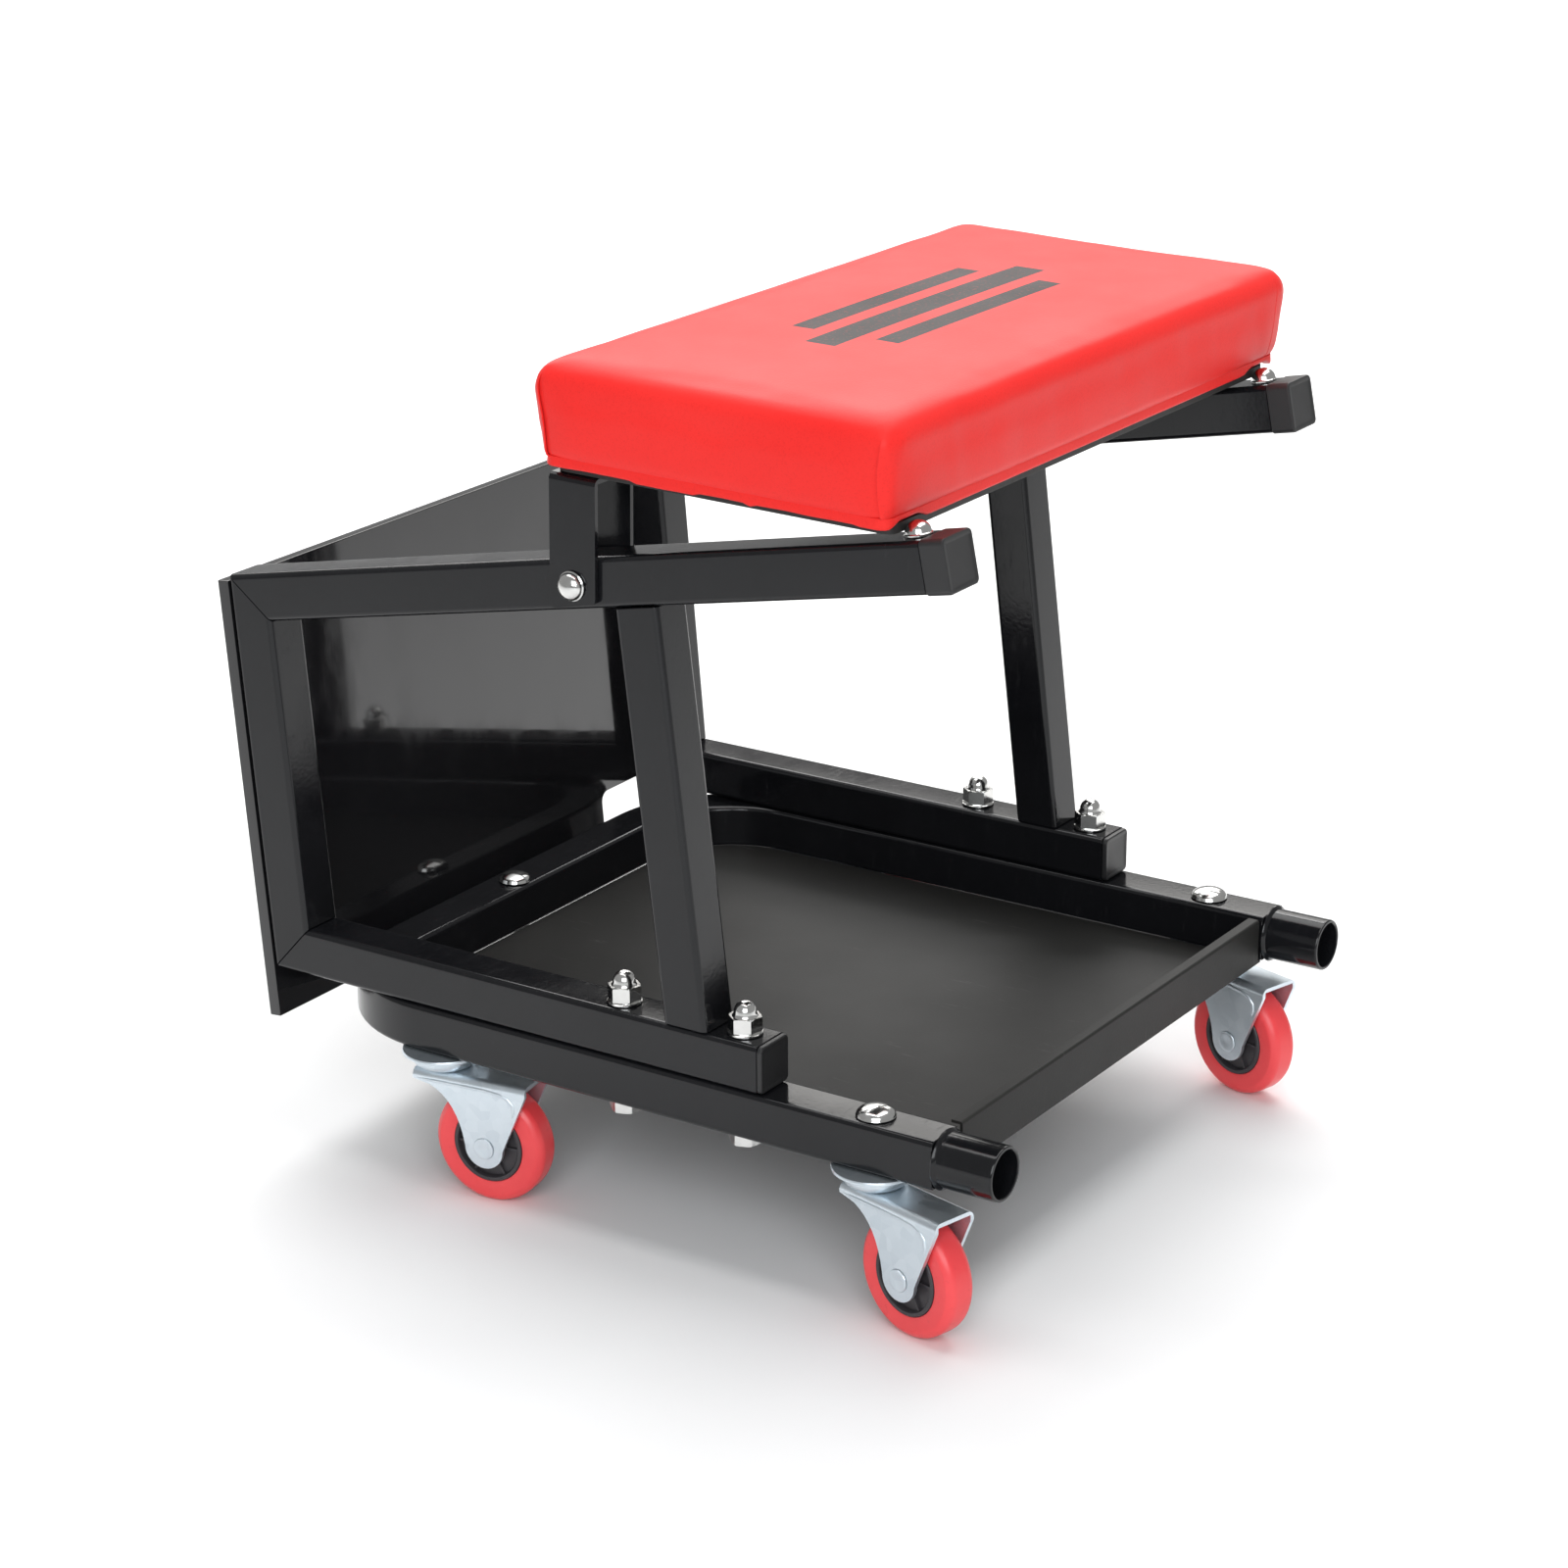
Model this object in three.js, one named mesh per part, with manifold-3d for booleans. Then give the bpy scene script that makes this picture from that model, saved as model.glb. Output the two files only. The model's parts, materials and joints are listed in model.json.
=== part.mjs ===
// A rolling mechanic's seat: a U-shaped tube base with a tool tray on four swivel
// casters, two tube side frames, a sheet back panel, and a padded seat that tips back
// on two bracket pivots. Millimetres, +Z up, front towards -Y, floor at Z = 0.

import * as THREE from 'three';
import { mergeVertices } from 'three/addons/utils/BufferGeometryUtils.js';
import Module from 'manifold-3d';

const wasm = await Module();
wasm.setup();

// ---------------------------------------------------------------- driving dimensions

const GAP = 0.3; // between pieces that touch
const RUNNING = 0.1; // between a turning piece and its pin, on the radius
const OVERLAP = 0.2; // how far two shapes of one piece run into each other

const TUBE = 25.4; // square tube of the whole frame
const TUBE_WALL = 1.6;
const TUBE_CORNER = 3;
const CORNER_FACETS = 2; // flats round each corner of a tube

const FRAME_WIDTH = 369; // over the outer faces of the side tubes
const BASE_FRONT_Y = -205;
const BASE_REAR_Y = 186.5; // rear face of the base's cross tube
const BEND_RADIUS = 66; // base tube bends, to the tube's middle
const CASTER_HEIGHT = 79.4; // floor to the underside of the base tube

const STUB_DIAMETER = 28;
const STUB_WALL = 2;
const STUB_LENGTH = 33;

const SHEET = 1.6; // tray sheet
const TRAY_LIP = 6.5; // return of the tray's front fold
const TRAY_RELIEF = 3; // cut-back of the front fold beside each tube

const LOWER_RAIL_FRONT_Y = -105;
const FRAME_REAR_Y = BASE_REAR_Y + 13.5; // lower rear corner of a side frame
const POST_LEAN = 4.9; // degrees, top to the rear
const TOP_RAIL_RISE = 11.2; // degrees, up to the front
const TOP_RAIL_END_Y = -195; // where the tube ends and its cap's head begins
const TOP_RAIL_END_Z = 399.1; // height of the top face there
const STRUT_FOOT_Y = -63;
const STRUT_LEAN = 6.8; // degrees, top to the rear

const CAP_LENGTH = 13;
const CAP_PROUD = 0.5; // cap head over the tube, all round
const PLUG_LENGTH = 2.5;
const CAP_SPIGOT = 12;
const PLUG_SPIGOT = 6;

const PANEL_SHEET = 2;
const PANEL_FLANGE = 7; // depth of the panel's folded edge
const PANEL_BOTTOM_Z = 77.5;
const PANEL_TOP_DROP = 3; // panel's top edge below the frame's top rear corner
const PANEL_NOTCH = { left: 110, right: 150, top: 113, radius: 6 };

const FRAME_BOLT_RADIUS = 5;
const FRAME_BOLT_Y = [-18, -90.5];
const FRAME_BOLT_FLATS = 15;
const FRAME_BOLT_HEAD = 6.4;
const FRAME_NUT = 8; // height of the acorn nut's hexagon
const FRAME_NUT_DOME = { radius: 5.8, neck: 1.8 };
const FRAME_WASHER_RADIUS = 9;
const PANEL_BOLT_X = -14;
const PANEL_BOLT_Y = BASE_REAR_Y - 15.5;
const PANEL_BOLT_DOME = { radius: 9, height: 5 };
const PLAIN_NUT = 6.5; // height of the plain nuts

const WHEEL_RADIUS = 31.75;
const WHEEL_WIDTH = 18;
const HUB_RADIUS = 19.8;
const AXLE_RADIUS = 4;
const CASTER_TRAIL = 29; // swivel axis to axle
const STEM_RADIUS = 5;
const STEM_HEAD_RADIUS = 10;
const STEM_HEAD_HEIGHT = 5.5;
const STEM_RIVET = { radius: 8, height: 3 };
const AXLE_HEAD = { face: 5, radius: 6, edge: 1, height: 1.6 };
const TYRE_SHOULDER = 3; // flat cut between the wheel's side and its tread
const TYRE_DISH = 0.5; // fall of the wheel's side towards the hub
const HUB_BOSS = 8;
const HUB_RIM = 2.5; // thickness of the hub's outer wall
const HUB_WEB_DEPTH = 3; // web below the hub's side faces
const FORK_SHEET = 2.2;
const FORK_WIDTH = 26;
const FORK_TOP_Z = 69.7;
const FORK_TIP_RADIUS = 11;
const FORK_TAIL = -12; // from the swivel axis to the fork's rear edge
const FORK_NOSE = 54; // and to its front edge
const FORK_SKIRT_Z = 64.5; // lower edge of the fork's skirt at both ends
const FORK_THROAT = { startX: -2, rise: 2, pullX: 14, pullZ: 56 }; // hollow curve behind the wheel
const FORK_SHOULDER = 4;
const RACE_RADIUS = 17;
const RACE_PLATE_RADIUS = 22;
const RACE_PLATE = 2;
const RACE_CHAMFER = 3;
const FRONT_CASTER_Y = -166;
const REAR_CASTER_Y = 98;

const SEAT_WIDTH = FRAME_WIDTH + 20;
const SEAT_DEPTH = 203;
const SEAT_THICKNESS = 46.7;
const SEAT_REAR_Y = 15.5;
const SEAT_TILT = 1.1; // degrees, down to the front
const SEAT_EDGE = 9; // rounding of the cushion's edges
const BOARD_THICKNESS = 5;
const BOARD_INSET = 7; // board inside the cushion's outline
const BRACKET_SHEET = 2.5;
const BRACKET_LENGTH = 27;
const BRACKET_SIDE_GAP = 0.5; // bracket cheek to rail
const BRACKET_RISE = TUBE / 2 + 41.6; // pivot to the bracket's top, clear of the rail
const BRACKET_DROP = 10.5; // pivot to the middle of its lower edge
const BRACKET_FOLD = 3.5; // outside radius of its two folds
const BRACKET_CORNER = 3; // rounding of the cheeks' lower corners
const PIVOT_Y = -3.5;
const PIVOT_RADIUS = 4;
const REST_BOLT_Y = -188;
const REST_BOLT_RADIUS = 2;
const PIVOT_DOME = { radius: 7.5, height: 5 };
const PIVOT_NUT_FLATS = 13;
const REST_DOME = { radius: 6.9, height: 6 };
const WASHER = 1.2;
const WASHER_LEDGE = 0.6; // washer beyond the dome above it

// Where each caster points, in degrees anticlockwise from +X seen from above.
const CASTERS = [
  { name: 'front_left', side: -1, y: FRONT_CASTER_Y, yaw: 256 },
  { name: 'front_right', side: 1, y: FRONT_CASTER_Y, yaw: 254 },
  { name: 'rear_left', side: -1, y: REAR_CASTER_Y, yaw: 278 },
  { name: 'rear_right', side: 1, y: REAR_CASTER_Y, yaw: 262 },
];
const SIDES = [
  { name: 'left', side: -1 },
  { name: 'right', side: 1 },
];

// ---------------------------------------------------------------- derived places

const radians = THREE.MathUtils.degToRad;
const RAIL_X = (FRAME_WIDTH - TUBE) / 2;
const BASE_TOP_Z = CASTER_HEIGHT + TUBE;
const LOWER_RAIL_Z = BASE_TOP_Z + GAP;
const LOWER_RAIL_TOP_Z = LOWER_RAIL_Z + TUBE;
const CROSS_Y = BASE_REAR_Y - TUBE / 2;

// Points and directions of the side frame lie in its own plane, as (y, z).
const lowerRear = new THREE.Vector2(FRAME_REAR_Y, LOWER_RAIL_Z);
const lowerFront = new THREE.Vector2(LOWER_RAIL_FRONT_Y, LOWER_RAIL_Z);
const topFront = new THREE.Vector2(TOP_RAIL_END_Y, TOP_RAIL_END_Z);
const postUp = new THREE.Vector2(Math.sin(radians(POST_LEAN)), Math.cos(radians(POST_LEAN)));
const railBack = new THREE.Vector2(Math.cos(radians(TOP_RAIL_RISE)), -Math.sin(radians(TOP_RAIL_RISE)));
const railNormal = new THREE.Vector2(-railBack.y, railBack.x);
const topRear = crossing(lowerRear, postUp, topFront, railBack);

/** Where two lines in the side frame's plane cross. */
function crossing(a, alongA, b, alongB) {
  const gap = b.clone().sub(a);
  const reach = gap.cross(alongB) / alongA.cross(alongB);
  return a.clone().addScaledVector(alongA, reach);
}

/** Height of the top rail's upper face at a given y. */
function topRailZ(y) {
  return topFront.y + ((y - topFront.x) * railBack.y) / railBack.x;
}

const pivotZ = topRailZ(PIVOT_Y) - TUBE / 2 / railBack.x;

// ---------------------------------------------------------------- solids

/** A closed geometry as a solid that can be joined and cut. */
function toSolid(geometry) {
  const bare = geometry.clone();
  bare.deleteAttribute('normal');
  bare.deleteAttribute('uv');
  const merged = mergeVertices(bare, 1e-4);
  return new wasm.Manifold(new wasm.Mesh({
    numProp: 3,
    vertProperties: new Float32Array(merged.attributes.position.array),
    triVerts: new Uint32Array(merged.index.array),
  }));
}

/** A solid back as a geometry. */
function toGeometry(solid) {
  const mesh = solid.getMesh();
  const geometry = new THREE.BufferGeometry();
  geometry.setAttribute('position', new THREE.BufferAttribute(new Float32Array(mesh.vertProperties), 3));
  geometry.setIndex(new THREE.BufferAttribute(new Uint32Array(mesh.triVerts), 1));
  geometry.computeVertexNormals();
  return geometry;
}

function cut(geometry, ...tools) {
  return toGeometry(tools.reduce((solid, tool) => solid.subtract(toSolid(tool)), toSolid(geometry)));
}

function join(geometry, ...others) {
  return toGeometry(others.reduce((solid, other) => solid.add(toSolid(other)), toSolid(geometry)));
}

function common(geometry, other) {
  return toGeometry(toSolid(geometry).intersect(toSolid(other)));
}

/** A round bar with its axis along +Z, from z = bottom to z = top. */
function bar(radius, bottom, top, segments = 12) {
  const length = top - bottom;
  return new THREE.CylinderGeometry(radius, radius, length, segments)
    .rotateX(Math.PI / 2)
    .translate(0, 0, bottom + length / 2);
}

/** A hexagonal bar along +Z, measured across its flats. */
function hexBar(flats, bottom, top) {
  return bar(flats / 2 / Math.cos(Math.PI / 6), bottom, top, 6);
}

/** A solid of revolution about +Z from points of (radius, z). */
function turned(points, segments = 20) {
  const profile = points.map(([radius, z]) => new THREE.Vector2(radius, z));
  return new THREE.LatheGeometry(profile, segments).rotateX(Math.PI / 2);
}

/** Profile points of a domed head of given radius and height, from its rim up to the axis. */
function domePoints(radius, base, height, steps = 3) {
  const points = [];
  for (let i = 0; i <= steps; i += 1) {
    const angle = (i / steps) * (Math.PI / 2);
    points.push([i === steps ? 0 : radius * Math.cos(angle), base + height * Math.sin(angle)]);
  }
  return points;
}

/** A square outline with round corners, centred on the origin. */
function roundedSquare(width, height, radius, Outline = THREE.Shape) {
  const outline = new Outline();
  const x = width / 2 - radius;
  const y = height / 2 - radius;
  outline.absarc(x, y, radius, 0, Math.PI / 2);
  outline.absarc(-x, y, radius, Math.PI / 2, Math.PI);
  outline.absarc(-x, -y, radius, Math.PI, Math.PI * 1.5);
  outline.absarc(x, -y, radius, Math.PI * 1.5, Math.PI * 2);
  outline.closePath();
  return outline;
}

/** The square tube's section, with its bore. */
function tubeSection() {
  const section = roundedSquare(TUBE, TUBE, TUBE_CORNER);
  const bore = TUBE - 2 * TUBE_WALL;
  section.holes.push(roundedSquare(bore, bore, TUBE_CORNER - TUBE_WALL, THREE.Path));
  return section;
}

/** A large block whose face passes through a point of the side plane, lying on the normal's side. */
function halfSpace(point, normal) {
  const size = 120;
  const angle = Math.atan2(normal.y, normal.x);
  return new THREE.BoxGeometry(size, size, size)
    .rotateX(angle)
    .translate(0, point.x + (normal.x * size) / 2, point.y + (normal.y * size) / 2);
}

/**
 * A straight square tube in the side plane at x = 0. Its centre line runs from a to b, and
 * each end is cut by the plane through its point with the given outward normal.
 */
function straightTube(a, b, endA, endB) {
  const along = b.clone().sub(a);
  const overrun = TUBE;
  const length = along.length() + 2 * overrun;
  const tube = new THREE.ExtrudeGeometry(tubeSection(), {
    depth: length,
    bevelEnabled: false,
    curveSegments: CORNER_FACETS,
  })
    .translate(0, 0, -overrun)
    .rotateX(Math.atan2(along.y, along.x) - Math.PI / 2)
    .translate(0, a.x, a.y);
  return cut(tube, halfSpace(endA.point, endA.normal), halfSpace(endB.point, endB.normal));
}

/** The outward end plane of a tube that meets another at a mitred corner. */
function mitre(corner, along, other) {
  const normal = other.clone().sub(along).normalize();
  return { point: corner.clone().addScaledVector(normal, -GAP / 2), normal };
}

const group = new THREE.Group();

const FINISHES = {
  frame: { color: 0x17181b, roughness: 0.22, metalness: 0.1 },
  tray: { color: 0x2c2b28, roughness: 0.42, metalness: 0.2 },
  plastic: { color: 0x1b1b1c, roughness: 0.5, metalness: 0 },
  zinc: { color: 0xc9d3da, roughness: 0.3, metalness: 0.9 },
  bright: { color: 0xe2e2e2, roughness: 0.15, metalness: 1 },
  tyre: { color: 0xe0323c, roughness: 0.4, metalness: 0 },
  hub: { color: 0x2a282b, roughness: 0.5, metalness: 0 },
  vinyl: { color: 0xe02a2c, roughness: 0.45, metalness: 0 },
  board: { color: 0x151516, roughness: 0.6, metalness: 0 },
};

/** Adds one named piece to a group. */
function add(name, geometry, finish, parent = group) {
  const mesh = new THREE.Mesh(geometry, new THREE.MeshStandardMaterial(FINISHES[finish]));
  mesh.name = name;
  parent.add(mesh);
  return mesh;
}

// ---------------------------------------------------------------- base frame

/** The base's centre line: up one side, round two bends and back down the other. */
class BasePath extends THREE.Curve {
  constructor() {
    super();
    const bendX = RAIL_X - BEND_RADIUS;
    const bendY = CROSS_Y - BEND_RADIUS;
    this.stations = [{ x: -RAIL_X, y: BASE_FRONT_Y, heading: 90 }];
    this.addBend(-bendX, bendY, 90);
    this.addBend(bendX, bendY, 0);
    this.stations.push({ x: RAIL_X, y: BASE_FRONT_Y, heading: -90 });
  }

  addBend(x, y, heading) {
    const steps = 6;
    for (let i = 0; i <= steps; i += 1) {
      const turn = heading - (i / steps) * 90;
      this.stations.push({
        x: x + BEND_RADIUS * Math.cos(radians(turn + 90)),
        y: y + BEND_RADIUS * Math.sin(radians(turn + 90)),
        heading: turn,
      });
    }
  }

  station(u) {
    return this.stations[Math.round(u * (this.stations.length - 1))];
  }

  getPointAt(u) {
    const { x, y } = this.station(u);
    return new THREE.Vector3(x, y, 0);
  }

  getTangentAt(u) {
    const heading = radians(this.station(u).heading);
    return new THREE.Vector3(Math.cos(heading), Math.sin(heading), 0);
  }
}

function baseFrameTube() {
  const path = new BasePath();
  const tube = new THREE.ExtrudeGeometry(tubeSection(), {
    steps: path.stations.length - 1,
    extrudePath: path,
    curveSegments: CORNER_FACETS,
  }).translate(0, 0, CASTER_HEIGHT + TUBE / 2);
  const holes = [];
  const drill = (radius, x, y) => {
    holes.push(bar(radius + GAP, CASTER_HEIGHT - GAP, BASE_TOP_Z + GAP).translate(x, y, 0));
  };
  for (const caster of CASTERS) {
    drill(STEM_RADIUS, caster.side * RAIL_X, caster.y);
  }
  for (const { side } of SIDES) {
    FRAME_BOLT_Y.forEach((y) => drill(FRAME_BOLT_RADIUS, side * RAIL_X, y));
  }
  drill(FRAME_BOLT_RADIUS, PANEL_BOLT_X, PANEL_BOLT_Y);
  return cut(tube, ...holes);
}

/** An open round socket on the front end of a side tube. */
function stub(side) {
  const outer = STUB_DIAMETER / 2;
  const inner = outer - STUB_WALL;
  const profile = [[inner, 0], [outer, 0], [outer, STUB_LENGTH], [inner, STUB_LENGTH], [inner, 0]];
  return turned(profile, 24)
    .rotateX(Math.PI / 2)
    .translate(side * RAIL_X, BASE_FRONT_Y - GAP, CASTER_HEIGHT + TUBE / 2);
}

/** The sheet tray: a floor inside the U, folded up and back along its front edge. */
function toolTray() {
  const halfWidth = RAIL_X - TUBE / 2 - GAP;
  const rearY = CROSS_Y - TUBE / 2 - GAP;
  const corner = BEND_RADIUS - TUBE / 2 - GAP;
  const floor = new THREE.Shape();
  floor.moveTo(-halfWidth, BASE_FRONT_Y);
  floor.lineTo(halfWidth, BASE_FRONT_Y);
  floor.absarc(halfWidth - corner, rearY - corner, corner, 0, Math.PI / 2);
  floor.absarc(corner - halfWidth, rearY - corner, corner, Math.PI / 2, Math.PI);
  floor.closePath();
  const sheet = new THREE.ExtrudeGeometry(floor, { depth: SHEET, bevelEnabled: false, curveSegments: 8 })
    .translate(0, 0, CASTER_HEIGHT);

  // The front fold's section, as (distance behind the front face, height), swept across.
  const fold = new THREE.Shape();
  const top = TUBE;
  fold.moveTo(0, 0);
  fold.lineTo(SHEET, 0);
  fold.lineTo(SHEET, top - SHEET);
  fold.lineTo(TRAY_LIP, top - SHEET);
  fold.lineTo(TRAY_LIP, top);
  fold.lineTo(SHEET, top);
  fold.absarc(SHEET, top - SHEET, SHEET, Math.PI / 2, Math.PI);
  fold.closePath();
  const foldLength = 2 * (halfWidth - TRAY_RELIEF);
  const front = new THREE.ExtrudeGeometry(fold, { depth: foldLength, bevelEnabled: false, curveSegments: 3 })
    .rotateX(Math.PI / 2)
    .rotateZ(Math.PI / 2)
    .translate(-foldLength / 2, BASE_FRONT_Y, CASTER_HEIGHT);
  return join(sheet, front);
}

add('base_frame_tube', baseFrameTube(), 'frame');
add('tool_tray', toolTray(), 'tray');
for (const { name, side } of SIDES) {
  add(`front_stub_${name}`, stub(side), 'frame');
}

// ---------------------------------------------------------------- side frames

/** A point moved off an outer face line to the tube's centre line. */
function inset(point, normal) {
  return point.clone().addScaledVector(normal, TUBE / 2);
}

const forward = new THREE.Vector2(-1, 0);
const upward = new THREE.Vector2(0, 1);
const postInward = new THREE.Vector2(-postUp.y, postUp.x);
const railDown = railNormal.clone().negate();
const railForward = railBack.clone().negate();
const postDown = postUp.clone().negate();

/** A through hole across a tube's wall at (y, z) of the side plane, along a direction in it. */
function drillAlong(radius, y, z, direction, reach) {
  return bar(radius, -reach, reach)
    .rotateX(Math.atan2(direction.y, direction.x) - Math.PI / 2)
    .translate(0, y, z);
}

function lowerRail() {
  const rail = straightTube(
    inset(lowerRear, upward),
    inset(lowerFront, upward),
    mitre(lowerRear, forward, postUp),
    { point: lowerFront, normal: forward },
  );
  const middle = LOWER_RAIL_Z + TUBE / 2;
  const bolts = FRAME_BOLT_Y.map((y) => drillAlong(FRAME_BOLT_RADIUS + GAP, y, middle, upward, TUBE));
  const stemRecess = bar(STEM_HEAD_RADIUS + 2 * GAP, LOWER_RAIL_Z - GAP, middle)
    .translate(0, REAR_CASTER_Y, 0);
  return cut(rail, ...bolts, stemRecess);
}

function rearPost() {
  return straightTube(
    inset(lowerRear, postInward),
    inset(topRear, postInward),
    mitre(lowerRear, postUp, forward),
    mitre(topRear, postDown, railForward),
  );
}

function topRail() {
  const rail = straightTube(
    inset(topRear, railDown),
    inset(topFront, railDown),
    mitre(topRear, railForward, postDown),
    { point: topFront, normal: railForward },
  );
  const pivotHole = bar(PIVOT_RADIUS + GAP, -TUBE, TUBE)
    .rotateY(Math.PI / 2)
    .translate(0, PIVOT_Y, pivotZ);
  return cut(rail, pivotHole, restBoltHole());
}

function strut() {
  const up = new THREE.Vector2(Math.sin(radians(STRUT_LEAN)), Math.cos(radians(STRUT_LEAN)));
  const foot = new THREE.Vector2(STRUT_FOOT_Y, LOWER_RAIL_TOP_Z + GAP);
  const railUnderside = topFront.clone().addScaledVector(railDown, TUBE + GAP);
  const head = crossing(foot, up, railUnderside, railBack);
  return straightTube(foot, head, { point: foot, normal: upward.clone().negate() },
    { point: head, normal: railNormal });
}

/** A plastic end piece: a head against the tube's end and a spigot inside the bore. */
function endPiece(headSize, headLength, spigotLength) {
  const bore = TUBE - 2 * TUBE_WALL - 2 * GAP;
  const head = new THREE.ExtrudeGeometry(roundedSquare(headSize - 1, headSize - 1, TUBE_CORNER - 0.5), {
    depth: headLength - 1,
    bevelThickness: 0.5,
    bevelSize: 0.5,
    bevelSegments: 2,
    curveSegments: 3,
  }).translate(0, 0, 0.5);
  const spigot = new THREE.ExtrudeGeometry(roundedSquare(bore, bore, 1), {
    depth: spigotLength,
    bevelEnabled: false,
    curveSegments: 1,
  }).translate(0, 0, -spigotLength + 0.5);
  return join(head, spigot);
}

/** Turns an end piece to point along a direction of the side plane and seats it at a point. */
function seatEnd(geometry, point, direction) {
  return geometry
    .rotateX(Math.atan2(direction.y, direction.x) - Math.PI / 2)
    .translate(0, point.x + direction.x * GAP, point.y + direction.y * GAP);
}

/** A through bolt, head below and acorn nut above, about a vertical axis. */
function frameBolt(bottom, top) {
  const washerTop = top + GAP + WASHER;
  const nutTop = washerTop + FRAME_NUT;
  const { radius, neck } = FRAME_NUT_DOME;
  return join(
    hexBar(FRAME_BOLT_FLATS, bottom - GAP - FRAME_BOLT_HEAD, bottom - GAP),
    bar(FRAME_BOLT_RADIUS, bottom - GAP - OVERLAP, washerTop),
    bar(FRAME_WASHER_RADIUS, top + GAP, washerTop, 16),
    hexBar(FRAME_BOLT_FLATS, washerTop - OVERLAP, nutTop),
    turned([
      [0, nutTop - OVERLAP],
      [radius, nutTop - OVERLAP],
      ...domePoints(radius, nutTop + neck, radius),
    ], 16),
  );
}

/** The round-headed bolt near a top rail's front: washer and dome on top, shank below. */
function restBolt() {
  const shankLength = 5;
  return turned([
    [0, -shankLength],
    [REST_BOLT_RADIUS, -shankLength],
    [REST_BOLT_RADIUS, 0],
    [REST_DOME.radius, 0],
    [REST_DOME.radius, WASHER],
    ...domePoints(REST_DOME.radius - WASHER_LEDGE, WASHER, REST_DOME.height),
  ], 16);
}

/** Its hole, through the rail's upper wall and into the cap's spigot. */
function restBoltHole() {
  const seatZ = topRailZ(REST_BOLT_Y);
  return drillAlong(REST_BOLT_RADIUS + GAP, REST_BOLT_Y, seatZ, railNormal, TUBE / 2);
}

for (const { name, side } of SIDES) {
  const frame = new THREE.Group();
  frame.position.x = side * RAIL_X;
  group.add(frame);
  add(`lower_rail_${name}`, lowerRail(), 'frame', frame);
  add(`rear_post_${name}`, rearPost(), 'frame', frame);
  add(`top_rail_${name}`, topRail(), 'frame', frame);
  add(`strut_${name}`, strut(), 'frame', frame);

  const capSeat = inset(topFront, railDown);
  const cap = seatEnd(endPiece(TUBE + 2 * CAP_PROUD, CAP_LENGTH, CAP_SPIGOT), capSeat, railForward);
  add(`top_rail_cap_${name}`, cut(cap, restBoltHole()), 'plastic', frame);
  const plug = endPiece(TUBE - 2 * GAP, PLUG_LENGTH, PLUG_SPIGOT);
  add(`lower_rail_plug_${name}`, seatEnd(plug, inset(lowerFront, upward), forward), 'plastic', frame);

  FRAME_BOLT_Y.forEach((y, index) => {
    const place = index === 0 ? 'rear' : 'front';
    add(`frame_bolt_${place}_${name}`, frameBolt(CASTER_HEIGHT, LOWER_RAIL_TOP_Z).translate(0, y, 0),
      'bright', frame);
  });

  const restSeat = new THREE.Vector2(REST_BOLT_Y, topRailZ(REST_BOLT_Y));
  add(`rest_bolt_${name}`, seatEnd(restBolt(), restSeat, railNormal), 'bright', frame);
}

// ---------------------------------------------------------------- back panel

/** A sheet pan behind the posts, its edges folded to the rear, one lower corner notched. */
function backPanel() {
  const rise = (topRear.y - PANEL_TOP_DROP - PANEL_BOTTOM_Z) / postUp.y;
  const drop = (lowerRear.y - PANEL_BOTTOM_Z) / postUp.y;
  const outer = new THREE.BoxGeometry(FRAME_WIDTH, PANEL_FLANGE, rise)
    .translate(0, PANEL_FLANGE / 2, rise / 2);
  const hollowDepth = PANEL_FLANGE - PANEL_SHEET + GAP;
  const hollow = new THREE.BoxGeometry(FRAME_WIDTH - 2 * PANEL_SHEET, hollowDepth, rise - 2 * PANEL_SHEET)
    .translate(0, PANEL_SHEET + hollowDepth / 2, rise / 2);
  const { left, right, top, radius } = PANEL_NOTCH;
  const notchTop = (top - PANEL_BOTTOM_Z) / postUp.y;
  const window = new THREE.Shape();
  window.moveTo(left, -GAP);
  window.lineTo(right, -GAP);
  window.absarc(right - radius, notchTop - radius, radius, 0, Math.PI / 2);
  window.absarc(left + radius, notchTop - radius, radius, Math.PI / 2, Math.PI);
  window.closePath();
  const notch = new THREE.ExtrudeGeometry(window, {
    depth: 2 * PANEL_FLANGE,
    bevelEnabled: false,
    curveSegments: 4,
  }).rotateX(Math.PI / 2).translate(0, 1.5 * PANEL_FLANGE, 0);
  return cut(outer, hollow, notch)
    .translate(0, GAP, -drop)
    .rotateX(-radians(POST_LEAN))
    .translate(0, lowerRear.x, lowerRear.y);
}

/** The round-headed bolt through the rear cross tube, nut below. */
function crossBolt() {
  const { radius, height } = PANEL_BOLT_DOME;
  const nutTop = CASTER_HEIGHT - GAP;
  return join(
    turned([
      [0, CASTER_HEIGHT - GAP],
      [FRAME_BOLT_RADIUS, CASTER_HEIGHT - GAP],
      [FRAME_BOLT_RADIUS, BASE_TOP_Z + GAP],
      ...domePoints(radius, BASE_TOP_Z + GAP, height),
    ], 20),
    hexBar(FRAME_BOLT_FLATS, nutTop - PLAIN_NUT, nutTop + OVERLAP / 2),
  ).translate(PANEL_BOLT_X, PANEL_BOLT_Y, 0);
}

add('back_panel', backPanel(), 'frame');
add('cross_tube_bolt', crossBolt(), 'bright');

// ---------------------------------------------------------------- casters

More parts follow.
